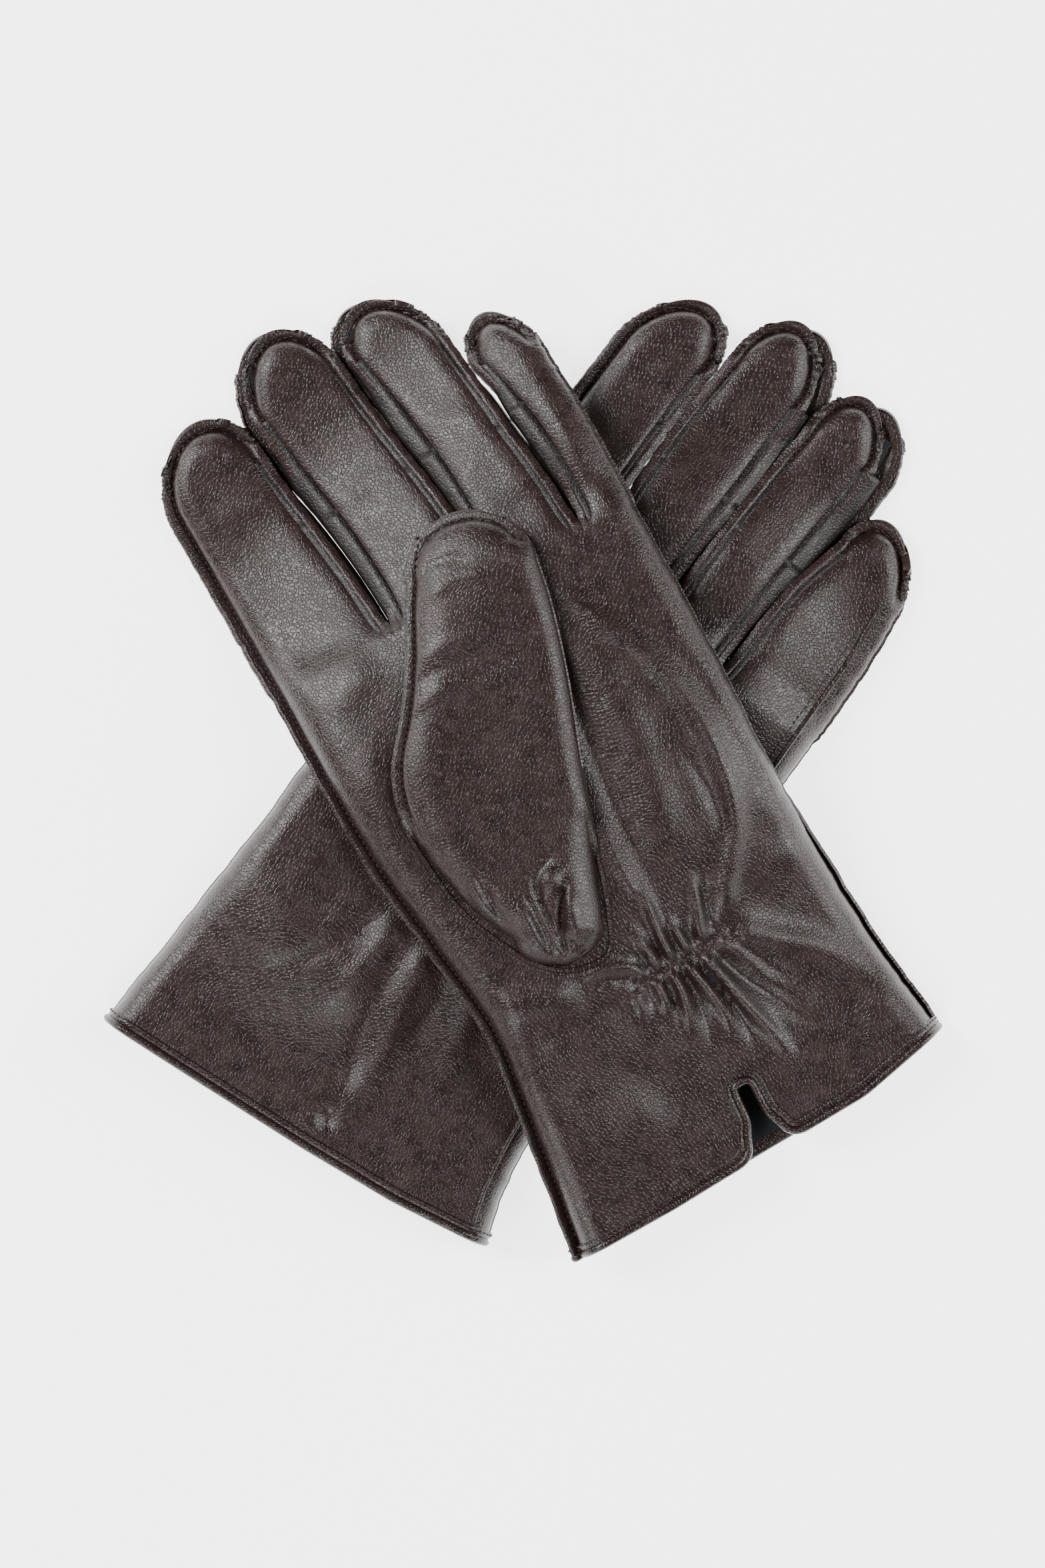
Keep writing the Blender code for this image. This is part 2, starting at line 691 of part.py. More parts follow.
def build_glove(glove, finishes):
    name = glove["name"]
    frame = empty(name + "_glove", None, (*glove["hem_at"], 0), glove["turn"])
    hand = {"empty": frame, "at": (0, 0, 0)}
    palm_up = glove["palm_up"]
    leather, edge, knit = finishes["leather"], finishes["fourchette"], finishes["lining"]

    palm = hand_panel(glove, "palm", palm_up, leather, hand)
    hand_panel(glove, "back", not palm_up, leather, hand)
    palm_lining = hand_lining(glove, "palm", palm_up, PALM_LINING_DEPTH, knit, hand)
    hand_lining(glove, "back", not palm_up, BACK_LINING_DEPTH, knit, hand)
    openings = []
    x, y = thumb_to_plan(*THUMB_OPENING["centre"])
    palm_z = rest_height(glove, x, y) + (2 * HAND_HALF if palm_up else 0)
    across, along = THUMB_OPENING["half"]
    openings.append(cutter(name + " thumb opening", frame, (x, y, palm_z), (across, along, 6), -THUMB_LEAN))
    hem_z = rest_height(glove, VENT["centre_x"], 0) + (2 * HAND_HALF if palm_up else 0)
    round_top = VENT["width"] / 2
    vent_at = (VENT["centre_x"], VENT["top"] - round_top, hem_z)
    openings.append(cutter(name + " vent", frame, vent_at, (round_top, round_top, 4), 0, tail=30))
    for panel in (palm, palm_lining):
        for opening in openings:
            cut(panel, opening)

    for gap in range(3):
        fork(glove, gap, edge, hand)
    for finger in range(4):
        left, right = finger_axis(glove, finger)
        joint = (left + right) / 2
        holder = {"empty": empty(f"{name}_{FINGERS[finger]}_bend", frame, joint), "at": joint}
        finger_leather(glove, finger, "palm", palm_up, leather, holder)
        finger_leather(glove, finger, "back", not palm_up, leather, holder)
        finger_lining(glove, finger, knit, holder)
        if finger > 0:
            fourchette(glove, finger, 0, edge, holder)
        if finger < 3:
            fourchette(glove, finger, 1, edge, holder)

    thumb_mantle(glove, leather, hand)
    left, right = thumb_axis(glove)
    joint = (left + right) / 2
    holder = {"empty": empty(name + "_thumb_bend", frame, joint), "at": joint}
    start = (THUMB_ROOT + 0.2) / THUMB_LEFT[-1][1]
    columns = (0, 0.12, 0.3, 0.7, 0.88, 1)
    rows = [start, 0.6, 0.8, 1.0, 1.35, 1.65, 1.88, 2.0]
    thumb_tube(glove, name + "_thumb", columns, rows, 0, LEATHER, leather, holder)
    depth = BACK_LINING_DEPTH
    thumb_tube(glove, name + "_thumb_lining", columns[1:-1], rows[:-2], depth, LINING, knit, holder)
    wrist_elastic(glove, finishes["elastic"], hand)
    hem_binding(glove, finishes["binding"], hand)


clear_scene()
COLLECTION = bpy.data.collections.new("leather_gloves")
CUTTERS = bpy.data.collections.new("cutters")
for group in (COLLECTION, CUTTERS):
    bpy.context.scene.collection.children.link(group)
FINISHES = {
    "leather": material("brown nappa leather", (0.045, 0.03, 0.027), 0.42),
    "fourchette": material("brown fourchette leather", (0.035, 0.023, 0.021), 0.5),
    "binding": material("brown binding leather", (0.04, 0.026, 0.024), 0.38),
    "lining": material("black knitted lining", (0.015, 0.016, 0.015), 0.95),
    "elastic": material("woven elastic", (0.03, 0.028, 0.027), 0.8),
}
for pair_member in (RIGHT, LEFT):
    build_glove(pair_member, FINISHES)
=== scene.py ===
# %% [markdown]
# # A crossed pair of leather dress gloves
# Gentlemen's gloves in soft nappa leather, table cut and outseamed: the palm and the back of each glove are
# separate skins, laid flesh side to flesh side and sewn with their raw edges standing out. The right glove
# lies on the table with its back up and its thumb folded under the palm. The left glove lies across it with
# its palm and its thumb up. The solids and the joints come from the CAD frame. This script dresses them.

import json
import math

import bmesh
import bpy
import numpy as np
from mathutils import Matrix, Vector, noise
from mathutils.bvhtree import BVHTree


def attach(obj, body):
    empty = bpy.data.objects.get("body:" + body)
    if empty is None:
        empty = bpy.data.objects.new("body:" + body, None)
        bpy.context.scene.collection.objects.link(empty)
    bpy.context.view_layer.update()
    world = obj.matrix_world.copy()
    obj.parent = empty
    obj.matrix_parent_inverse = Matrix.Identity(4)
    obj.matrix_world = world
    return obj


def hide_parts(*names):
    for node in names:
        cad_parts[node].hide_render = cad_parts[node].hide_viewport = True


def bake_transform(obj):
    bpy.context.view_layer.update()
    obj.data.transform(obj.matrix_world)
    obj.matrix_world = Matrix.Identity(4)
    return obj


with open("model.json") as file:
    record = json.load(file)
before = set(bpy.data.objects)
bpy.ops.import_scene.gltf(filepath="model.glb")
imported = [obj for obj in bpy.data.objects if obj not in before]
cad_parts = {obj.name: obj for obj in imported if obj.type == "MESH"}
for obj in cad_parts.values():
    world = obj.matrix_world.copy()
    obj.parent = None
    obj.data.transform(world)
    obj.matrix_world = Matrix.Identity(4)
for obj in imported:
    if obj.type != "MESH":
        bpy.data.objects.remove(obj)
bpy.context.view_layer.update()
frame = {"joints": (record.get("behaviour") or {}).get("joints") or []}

# %% [markdown]
# ## The pattern
# A glove cutter works from a flat pattern, so this script does too. Each glove has its own plan in
# millimetres: +x towards the little finger, +y from the hem to the fingertips. Four strips, one for each
# finger, run side by side from the hem to the tips. A point on a strip has s across it, and v along it: 0 at
# the hem, 1 at the crotches of the fingers, 2 at a finger's shoulder and 3 at its tip. The numbers are those
# of the CAD pattern, so the skins land where the solids are.

# %% Sizes of the hides and of the hand
MM = 0.001
LEATHER = 0.9
HAND_HALF, CUFF_HALF, FINGER_HALF = 5.0, 6.2, 3.5
THUMB_HALF = 3.2
SEAM_HALF = 1.05
SAG = 0.35
CROTCH_Y = 160.0
FINGERS = ("index", "middle", "ring", "little")

# %% The outlines of the two gloves
LEFT = {
    "name": "left",
    "hem_at": (60.5, -92.05),
    "turn": math.radians(28.4),
    "palm_up": True,
    "hem_y": (-6.5, -6.3, -5.0, -4.0, 1.5),
    "hem_x": (-27.0, 3.0, 31.0),
    "crotch_x": (-20.0, 9.3, 36.0),
    "outer": (
        ((-56.5, -6.5), (-53.5, 15), (-51, 35), (-48.7, 57), (-51.5, 82), (-54.8, 108), (-55.7, 135),
         (-56, 160), (-57, 195), (-57.5, 214)),
        ((56, 1.5), (53, 20), (51, 40), (50, 62), (49.8, 92), (50.5, 120), (50.3, 160), (50, 185), (49, 208)),
    ),
    "gaps": (
        (((-20, 160), (-21.8, 165), (-23.2, 178), (-25.3, 192), (-27.4, 206), (-28.9, 218)),
         ((-20, 160), (-18.4, 165), (-18.8, 180), (-20.6, 195), (-23.4, 210), (-25.8, 226))),
        (((9.3, 160), (8.0, 165), (7.6, 180), (5.6, 195), (3.0, 210), (0.6, 228)),
         ((9.3, 160), (10.8, 165), (10.6, 180), (9.8, 195), (7.4, 212), (3.9, 229))),
        (((36, 160), (34.5, 165), (33.4, 178), (31.6, 192), (30.0, 207), (28.4, 222)),
         ((36, 160), (37.4, 165), (37.5, 180), (36.6, 192), (34.4, 203), (32.0, 212))),
    ),
    "tips": ((-42.5, 233.5), (-13, 245.5), (15.5, 240.5), (40.5, 222.5)),
    "bend_y": (196.0, 196.0, 196.0, 196.0),
}
RIGHT = {
    "name": "right",
    "hem_at": (-59.5, -92.05),
    "turn": math.radians(-33.0),
    "palm_up": False,
    "hem_y": (-1.5, -1.3, -1.0, 0.0, 3.0),
    "hem_x": (-27.0, 3.0, 30.0),
    "crotch_x": (-19.5, 4.6, 27.2),
    "outer": (
        ((-58, -1.5), (-56.5, 15), (-54.8, 32), (-52.5, 55), (-51, 75), (-50.5, 92), (-50.5, 125),
         (-49, 160), (-46, 190), (-44.2, 208), (-43.3, 222)),
        ((57, 3), (53.8, 15), (52, 32), (51.5, 60), (53, 90), (56, 125), (57.6, 160), (58.6, 182), (58, 200)),
    ),
    "gaps": (
        (((-19.5, 160), (-20.8, 165), (-20.5, 185), (-19.9, 205), (-18.2, 226)),
         ((-19.5, 160), (-18.0, 165), (-17.8, 190), (-17.0, 212), (-14.9, 233))),
        (((4.6, 160), (3.2, 165), (4.4, 185), (6.0, 205), (7.8, 232)),
         ((4.6, 160), (6.1, 165), (7.8, 190), (9.6, 210), (12, 229))),
        (((27.2, 160), (25.8, 165), (27.6, 188), (29.8, 206), (32.0, 228)),
         ((27.2, 160), (28.7, 165), (30.0, 182), (32.0, 195), (36, 208))),
    ),
    "tips": ((-28.5, 241.3), (-3.5, 250.8), (21.5, 243.5), (46.5, 218.5)),
    "bend_y": (208.0, 201.0, 196.0, 184.0),
}

# %% The thumb's own plan: u across it and w along it, from a base point on the palm
THUMB_BASE = (-21.0, 62.0)
THUMB_LEAN = math.radians(15.5)
THUMB_LEFT = (
    (-14, 10), (-23, 21), (-31, 37), (-34, 50), (-33, 61), (-28, 73), (-23.5, 87), (-21, 99), (-19, 106),
)
THUMB_RIGHT = ((12, 10), (13, 27), (14, 50), (15.6, 75), (15.6, 94), (14.5, 106))
THUMB_TIP = (-2.5, 121.3)
THUMB_ROOT = 49.5
THUMB_SHOULDER = THUMB_LEFT[-1][1]


# %% Curves and easing, for whole arrays of points at a time
def smooth(t):
    t = np.clip(t, 0.0, 1.0)
    return t * t * (3 - 2 * t)


def mix(a, b, t):
    return a + (b - a) * t


def rounded(t):
    """A quarter of an ellipse: 0 at the edge, 1 where the surface is level."""
    t = np.clip(t, 0.0, 1.0)
    return np.sqrt(1 - (1 - t) ** 2)


def through(points, y):
    """The x at each height y, on a smooth curve through (x, y) points."""
    px, py = np.array(points, float).T
    last = len(py) - 1
    first = np.clip(np.searchsorted(py, y, side="right") - 1, 0, last - 1)
    below = np.maximum(np.arange(last + 1) - 1, 0)
    above = np.minimum(np.arange(last + 1) + 1, last)
    slope = (px[above] - px[below]) / (py[above] - py[below])
    span = py[first + 1] - py[first]
    t = (y - py[first]) / span
    return (
        (2 * t**3 - 3 * t**2 + 1) * px[first]
        + (t**3 - 2 * t**2 + t) * span * slope[first]
        + (3 * t**2 - 2 * t**3) * px[first + 1]
        + (t**3 - t**2) * span * slope[first + 1]
    )


def border_line(glove, strip, right):
    line = strip + right
    if line in (0, 4):
        return glove["outer"][line // 4]
    return glove["gaps"][line - 1][0 if right else 1]


VENT = {"x": 3.0, "half": 2.9, "top": 14.8, "flare": 2.6}


def vent_half(y):
    """Half the width of the vent at height y: straight sides that flare to the hem, and a round top."""
    centre = VENT["top"] - VENT["half"]
    flare = VENT["flare"] * np.clip((6 - y) / 12, 0, 1) ** 2
    arch = np.sqrt(np.clip(VENT["half"] ** 2 - np.clip(y - centre, 0, None) ** 2, 0, None))
    return arch + flare


def border(glove, strip, right, v, vented):
    """Plan points on a strip's border, for v up to 2, with the vent cut between the two middle strips."""
    line = strip + right
    points = border_line(glove, strip, right)
    hem = glove["hem_y"][line]
    y = np.where(v > 1, mix(CROTCH_Y, points[-1][1], v - 1), mix(hem, CROTCH_Y, v))
    if line in (0, 4):
        return np.stack([through(points, y), y], -1)
    hand_x = mix(glove["hem_x"][line - 1], glove["crotch_x"][line - 1], v)
    if vented and line == 2:
        hand_x = hand_x + (-1 if right else 1) * vent_half(y)
    return np.stack([np.where(v > 1, through(points, y), hand_x), y], -1)


print("borders of the index strip at the crotch:", border(LEFT, 0, 0, np.array([1.0]), False)[0])

# %% [markdown]
# ## How the gloves lie
# Soft leather takes the shape of what is under it. The right glove rises over its own folded thumb. The
# left glove lies over the right one like a cloth over a ridge, and comes down to the table on both sides.

# %% The surface that each glove lies on
THUMB_LIFT = 2 * THUMB_HALF + 0.8
LIFT_RADIUS, LIFT_FALL = 30.0, 34.0
RIDGE_TOP = THUMB_LIFT + 2 * HAND_HALF + 1.0
RIDGE_HALF, RIDGE_FALL = 30.0, 74.0


def thumb_to_plan(u, w):
    return (
        THUMB_BASE[0] + u * math.cos(THUMB_LEAN) + w * math.sin(THUMB_LEAN),
        THUMB_BASE[1] - u * math.sin(THUMB_LEAN) + w * math.cos(THUMB_LEAN),
    )


def to_world(glove, points):
    """Plan millimetres to metres in the frame."""
    turn = glove["turn"]
    x = glove["hem_at"][0] + points[..., 0] * math.cos(turn) - points[..., 1] * math.sin(turn)
    y = glove["hem_at"][1] + points[..., 0] * math.sin(turn) + points[..., 1] * math.cos(turn)
    return np.stack([x, y, points[..., 2]], -1) * MM


def rest_height(glove, x, y):
    if glove["palm_up"]:
        turn, other = glove["turn"], RIGHT["turn"]
        wx = glove["hem_at"][0] + x * math.cos(turn) - y * math.sin(turn) - RIGHT["hem_at"][0]
        wy = glove["hem_at"][1] + x * math.sin(turn) + y * math.cos(turn) - RIGHT["hem_at"][1]
        off_axis = wx * math.cos(other) + wy * math.sin(other)
        return RIDGE_TOP * (1 - smooth((np.abs(off_axis) - RIDGE_HALF) / RIDGE_FALL))
    low, high = np.array(thumb_to_plan(-6, 15)), np.array(thumb_to_plan(-5, 100))
    along = ((x - low[0]) * (high - low)[0] + (y - low[1]) * (high - low)[1]) / ((high - low) ** 2).sum()
    along = np.clip(along, 0, 1)
    away = np.hypot(x - mix(low[0], high[0], along), y - mix(low[1], high[1], along))
    return THUMB_LIFT * (1 - smooth((away - LIFT_RADIUS) / LIFT_FALL))


# %% [markdown]
# ## Folds
# The leather is gathered at the wrist by a short elastic, creased where the hand bends, and puckered along
# its seams. A fold here is a soft ridge or groove along a line of a few points, fullest in its middle and
# fading out at its ends. Each is placed one by one on the plan, as a sculptor would drag a brush.

# %% A fold, and the sum of a list of them
def spline(points, count=28):
    """A smooth line through a few given points."""
    p = np.array(points, float)
    p = np.vstack([2 * p[0] - p[1], p, 2 * p[-1] - p[-2]])
    made = []
    for k in range(1, len(p) - 2):
        for t in np.linspace(0, 1, max(3, count // (len(p) - 3)), endpoint=False):
            made.append(
                0.5 * (2 * p[k] + (p[k + 1] - p[k - 1]) * t
                       + (2 * p[k - 1] - 5 * p[k] + 4 * p[k + 1] - p[k + 2]) * t**2
                       + (3 * p[k] - p[k - 1] - 3 * p[k + 1] + p[k + 2]) * t**3)
            )
    made.append(p[-2])
    return np.array(made)


def fold_height(x, y, points, height, width, start=0.25, end=0.25):
    """The height that one fold adds at each point of the plan."""
    line = spline(points)
    steps = np.hypot(*np.diff(line, axis=0).T)
    reached = np.concatenate([[0], np.cumsum(steps)])
    total = reached[-1]
    nearest = np.full(x.shape, 1e9)
    along = np.zeros(x.shape)
    for (ax, ay), (bx, by), begun, step in zip(line, line[1:], reached, steps):
        t = np.clip(((x - ax) * (bx - ax) + (y - ay) * (by - ay)) / step**2, 0, 1)
        d = np.hypot(x - ax - (bx - ax) * t, y - ay - (by - ay) * t)
        closer = d < nearest
        nearest = np.where(closer, d, nearest)
        along = np.where(closer, (begun + step * t) / total, along)
    fade = smooth(along / start) * smooth((1 - along) / end)
    return height * fade * np.exp(-((nearest / width) ** 2))


def all_folds(x, y, folds):
    total = np.zeros(x.shape)
    for fold in folds:
        total += fold_height(x, y, *fold)
    return total


# %% The folds of the left palm: the gather's rays, the long swags of the palm, and the thumb's pull
LEFT_PALM_FOLDS = (
    # the gather's ridges and grooves above the elastic
    (((-1, 50.5), (-1.8, 57), (-2.6, 65)), 2.0, 1.32, 0.1, 0.5),
    (((3.2, 50.5), (3.2, 57), (4.2, 66), (5, 74)), 2.25, 1.44, 0.1, 0.5),
    (((7.8, 50.5), (7.6, 55), (7, 62)), 1.5, 1.26, 0.1, 0.5),
    (((12.5, 51), (14, 56), (16.5, 63), (18, 70)), 1.75, 1.49, 0.1, 0.5),
    (((-3.2, 50), (-4.2, 59)), -1.12, 1.15, 0.15, 0.5),
    (((1.2, 50), (1.3, 61)), -1.25, 1.15, 0.15, 0.5),
    (((5.7, 50), (5.8, 61)), -1.12, 1.15, 0.15, 0.5),
    (((10.3, 50.5), (10.8, 61)), -1.25, 1.15, 0.15, 0.5),
    (((16, 52), (19, 62), (22, 70)), -1.25, 1.26, 0.15, 0.5),
    # and those below it
    (((-9.2, 48.5), (-10, 44), (-11.5, 39)), 1.25, 1.26, 0.15, 0.5),
    (((-3.3, 48.5), (-3.5, 43), (-5, 36)), 1.75, 1.44, 0.1, 0.6),
    (((1.2, 48.5), (1.5, 43), (0, 36), (-2, 27)), 1.88, 1.49, 0.1, 0.6),
    (((5.8, 48.5), (7.8, 39), (8.6, 30), (8, 21)), 2.12, 1.61, 0.1, 0.6),
    (((10.8, 48.5), (14, 34), (17, 23), (19.5, 8)), 2.75, 1.95, 0.08, 0.5),
    (((16.3, 50), (20, 43), (24, 35)), 1.62, 1.49, 0.1, 0.6),
    (((20, 50.5), (30, 42), (40, 33), (46, 18)), 2.12, 4.14, 0.12, 0.5),
    (((-6, 49), (-7, 40)), -1.0, 1.15, 0.15, 0.6),
    (((-1.2, 49), (-1.2, 42), (-2.5, 33)), -1.25, 1.15, 0.12, 0.6),
    (((3.5, 49), (4.2, 41), (3.4, 32), (1, 24)), -1.38, 1.15, 0.12, 0.6),
    (((8.3, 48.5), (11, 38), (12.3, 27), (11, 16)), -1.5, 1.26, 0.12, 0.6),
    (((13.3, 48), (18, 37), (24, 26), (30, 14)), -1.75, 1.95, 0.12, 0.6),
    (((19, 47), (26, 36), (32, 26)), -1.12, 2.53, 0.2, 0.6),
    (((-11, 49), (-2, 49.2), (8, 49.6), (18, 50.5)), -0.62, 1.15, 0.1, 0.1),
    # the palm's long swags
    (
        ((19, 52.5), (25, 61), (33, 72), (38, 86), (39, 104), (35, 124), (26, 143), (17, 152)),
        2.2, 2.9, 0.08, 0.4,
    ),
    (((22, 146), (23, 115), (18, 84), (15, 68)), 1.5, 5.5, 0.3, 0.3),
    (((14, 150), (13, 125), (10, 100), (8.5, 80), (8, 64)), -1.2, 2.8, 0.3, 0.2),
    (((3.5, 94), (2.8, 80), (2.6, 68)), 0.9, 1.5, 0.3, 0.2),
    (((30, 66), (33, 84), (31, 104)), -1.0, 2.4, 0.3, 0.5),
    (((44, 66), (46, 92), (43, 126)), -0.8, 3.2, 0.3, 0.3),
    (((30, 56), (38, 61), (48, 60)), 0.9, 4.0, 0.3, 0.3),
    (((22, 154), (27, 140), (31, 124)), 0.8, 2.5, 0.3, 0.3),
    # the thumb's pull towards the elastic
    (((-21, 58.3), (-13, 56.8), (-8, 54.6), (-5.5, 50.5)), 1.4, 1.4, 0.3, 0.1),
    (((-14, 53.5), (-9.5, 52), (-7.5, 49)), -0.8, 0.9, 0.3, 0.15),
    (((-46, 64), (-34, 58), (-20, 55.5)), 1.5, 4.2, 0.3, 0.3),
    (((-40, 47), (-24, 46.5), (-11, 47.5)), -0.7, 3.0, 0.3, 0.2),
    # broad shapes of the cuff and of the fingers
    (((-45, 24), (-25, 16), (-10, 26)), 0.9, 8.0, 0.4, 0.4),
    (((-30, 36), (-18, 26), (-14, 6)), -0.8, 6.0, 0.4, 0.4),
    (((34, 6), (42, 10), (50, 22)), 0.8, 5.0, 0.4, 0.4),
    (((-48, 96), (-45, 120), (-38, 146)), 1.0, 5.0, 0.4, 0.4),
    (((-50, 150), (-38, 153), (-26, 158)), 0.9, 5.0, 0.4, 0.4),
    (((-52, 163), (-40, 166), (-28, 163)), -0.6, 3.5, 0.4, 0.4),
    (((-20, 196), (-8, 199), (0, 194)), 0.4, 3.0, 0.4, 0.4),
    (((10, 200), (20, 203), (28, 199)), 0.4, 3.0, 0.4, 0.4),
    (((-50, 206), (-42, 209), (-32, 205)), 0.4, 3.5, 0.4, 0.4),
)

# %% The folds of the right back: shallow creases that run down the cuff to a dimple near the hem
RIGHT_BACK_FOLDS = (
    (((-24, 66), (-21, 54), (-24, 40)), 0.8, 4.0, 0.3, 0.5),
    (((-12, 64), (-17, 52), (-25, 38), (-36, 24)), -1.0, 2.6, 0.2, 0.6),
    (((-8, 64), (-9, 46), (-14, 26)), 1.2, 3.4, 0.2, 0.5),
    (((-3, 62), (-2, 44), (2, 24), (5, 9)), -0.9, 2.4, 0.2, 0.3),
    (((3, 64), (4, 46), (8, 26), (9, 10)), 1.4, 3.2, 0.2, 0.35),
    (((10, 62), (13, 44), (14, 22)), -0.8, 2.6, 0.25, 0.5),
    (((16, 64), (22, 46), (25, 24)), 1.1, 3.6, 0.2, 0.5),
    (((3, 12), (5, 7), (7, 3)), -1.4, 2.2, 0.4, 0.4),
    (((-4, 3), (4, 5), (10, 4)), 0.7, 1.6, 0.4, 0.4),
    (((-46, 30), (-34, 52), (-36, 78)), 0.9, 8.0, 0.4, 0.4),
    (((28, 40), (36, 60), (38, 84)), 0.9, 8.0, 0.4, 0.4),
)

# %% [markdown]
# ## Skins
# Every skin is one fine grid for each strip, so that its rows run across the fingers and its columns run
# along the seams. The outermost columns are close together, because they carry the seam: a cut edge of
# suede, a flat sewn margin, the valley that the stitches pull, and then the swell of the hand.

# %% Where the columns and rows of a skin fall
CUT = 0.8  # the cut edge slopes outwards over this width
EDGE_MM = np.array([-CUT, 0.0, 0.3, 0.7, 1.2, 1.7, 2.1, 2.5, 3.0, 3.7, 4.7])
STITCH_IN = 2.1  # how far inside the cut edge the stitches run
STITCH_COLUMN = 6  # the column of EDGE_MM that the stitches follow
WALL_COLUMN = 8  # the column of EDGE_MM that the fourchettes hang from
TIP_ROWS = 20
MERGE = 2e-6  # metres within which two points of neighbouring grids are one
CORNER = 4.5  # radius of the vent's two feet


def column_shares(v, width, count, lead, outer_sides):
    """The s of each column on each row: set distances in from both borders, and an even spread between.
    Where two strips are still one skin, the set distances start on their common border."""
    open_share = smooth((v - 1) * 25)[:, None]
    even = np.linspace(0, lead[-1], len(lead)) if len(lead) > 1 else np.zeros(1)
    sides = []
    for outer in outer_sides:
        sides.append((lead if outer else mix(even, lead, open_share)) * np.ones((len(v), 1)) / width[:, None])
    share = np.linspace(0, 1, count + 2)[1:-1]
    middle = mix(sides[0][:, -1:], 1 - sides[1][:, -1:], share)
    return np.hstack([sides[0], middle, 1 - sides[1][:, ::-1]])


def shoulder_y(glove, strip):
    return (border_line(glove, strip, 0)[-1][1] + border_line(glove, strip, 1)[-1][1]) / 2


def bend_v(glove, strip):
    return 1 + (glove["bend_y"][strip] - CROTCH_Y) / (shoulder_y(glove, strip) - CROTCH_Y)


def row_list(glove, strip, pitch, lead):
    """The v of every row from the hem to the tip; one row lies exactly on the finger's bend."""
    bend = bend_v(glove, strip)
    finger_length = shoulder_y(glove, strip) - CROTCH_Y
    hand = np.linspace(0, 1, int(CROTCH_Y / pitch) + 1)
    root = np.linspace(1, bend, int((bend - 1) * finger_length / pitch) + 1)
    free = np.linspace(bend, 2, int((2 - bend) * finger_length / pitch) + 2)
    tip_height = glove["tips"][strip][1] - shoulder_y(glove, strip)
    rim = 3 - lead[:-1][::-1] / tip_height if len(lead) > 1 else 3 - lead / tip_height
    tip = np.linspace(2, rim[0], TIP_ROWS)
    return np.concatenate([hand, root[1:], free[1:], tip[1:], rim[1:]])


def full_half(v):
    """Half the thickness on the crown: fullest at the cuff's mouth and thinnest in the fingers."""
    return mix(mix(CUFF_HALF, HAND_HALF, smooth(v / 0.4)), FINGER_HALF, smooth((v - 0.94) / 0.3))


# %% The shape of one strip of skin, point by point
def edge_wobble(glove, strip, side, v):
    """How far a hand-cut and hand-sewn edge strays sideways, in millimetres."""
    seed = 10 * (strip + side) + glove["turn"]
    slow = [noise.noise(Vector((y / 7, seed, 0))) for y in v * CROTCH_Y]
    quick = [noise.noise(Vector((y / 2.6, seed, 5))) for y in v * CROTCH_Y]
    return 0.28 * np.array(slow) + 0.2 * np.array(quick)


def strip_plan(glove, strip, v, vented, spread, pitch, lead):
    """Plan points of a strip, and how far each lies inside the left and the right border."""
    left = border(glove, strip, 0, np.minimum(v, 2), vented)
    right = border(glove, strip, 1, np.minimum(v, 2), vented)
    across = right - left
    width = np.hypot(across[:, 0], across[:, 1])
    count = int((width[len(width) // 3] - 2 * EDGE_MM[-1]) / pitch)
    s = column_shares(v, width, count, lead, (strip == 0, strip == 3))
    a = 2 * s - 1
    b = np.clip(v - 2, 0, None)[:, None] * np.ones_like(a)
    middle = ((left + right) / 2)[:, None, :]
    tip = np.array(glove["tips"][strip])
    disc_x = a * np.sqrt(np.clip(1 - b**2 / 2, 0, None))
    disc_y = b * np.sqrt(np.clip(1 - np.minimum(a**2, 1.0) / 2, 0, None))
    plan = middle + across[:, None, :] / 2 * disc_x[..., None] + (tip - middle) * disc_y[..., None]
    radius = np.hypot(disc_x, disc_y)
    tip_height = np.hypot(*(tip - middle[-1, 0]))
    reach = width[:, None] / 2 * np.abs(disc_x) + tip_height * disc_y
    rim = (1 - radius) * (reach / np.maximum(np.abs(disc_x) + disc_y, 1e-6))
    over_tip = smooth(b / 0.45)
    to_left = mix(s * width[:, None], rim, np.where((a < 0) & (b > 0), 1, over_tip))
    to_right = mix((1 - s) * width[:, None], rim, np.where((a > 0) & (b > 0), 1, over_tip))
    outward = plan - middle
    outward = outward / np.maximum(np.hypot(outward[..., 0], outward[..., 1]), 1e-6)[..., None]
    nearest = np.minimum(to_left, to_right)
    free = smooth((v - 1) * 20)[:, None, None]
    plan = plan + outward * (spread * smooth(1 - nearest / 4))[..., None] * free
    for side, distance in ((0, to_left), (1, to_right)):
        open_here = 1.0 if strip + side in (0, 4) else smooth((v - 1.02) * 12)
        wobble = edge_wobble(glove, strip, side, v) * open_here
        plan[..., 0] += wobble[:, None] * smooth(1 - distance / 4)
    if vented and strip in (1, 2):
        to_vent = np.clip(to_right if strip == 1 else to_left, 0, CORNER)
        lift = CORNER - np.sqrt(CORNER**2 - (CORNER - to_vent) ** 2)
        plan[..., 1] += lift * (1 - smooth(v / 0.07))[:, None]
    return plan, to_left, to_right


def seam_profile(d, full, swell):
    """Half the thickness near a seam: a sewn margin, the stitches' valley, then the swell."""
    margin = SEAM_HALF + 0.3 * np.exp(-((np.clip(d, 0, None) / 0.6) ** 2))
    valley = 0.4 * np.exp(-(((d - STITCH_IN) / 0.45) ** 2))
    return margin - valley + (full - SEAM_HALF) * rounded((d - STITCH_IN - 0.1) / swell)


def fold_profile(d, full, swell):
    """Half the thickness near a plain folded side, which comes round with no seam."""
    return full * rounded((d + CUT) / swell)


GAP_EDGE = 0.74  # half the thickness at a finger's sides, as a share of that on its crown
TOP_SPREAD, UNDER_SPREAD = 0.35, 0.7  # how far the edges of the upper and the lower skin stand out


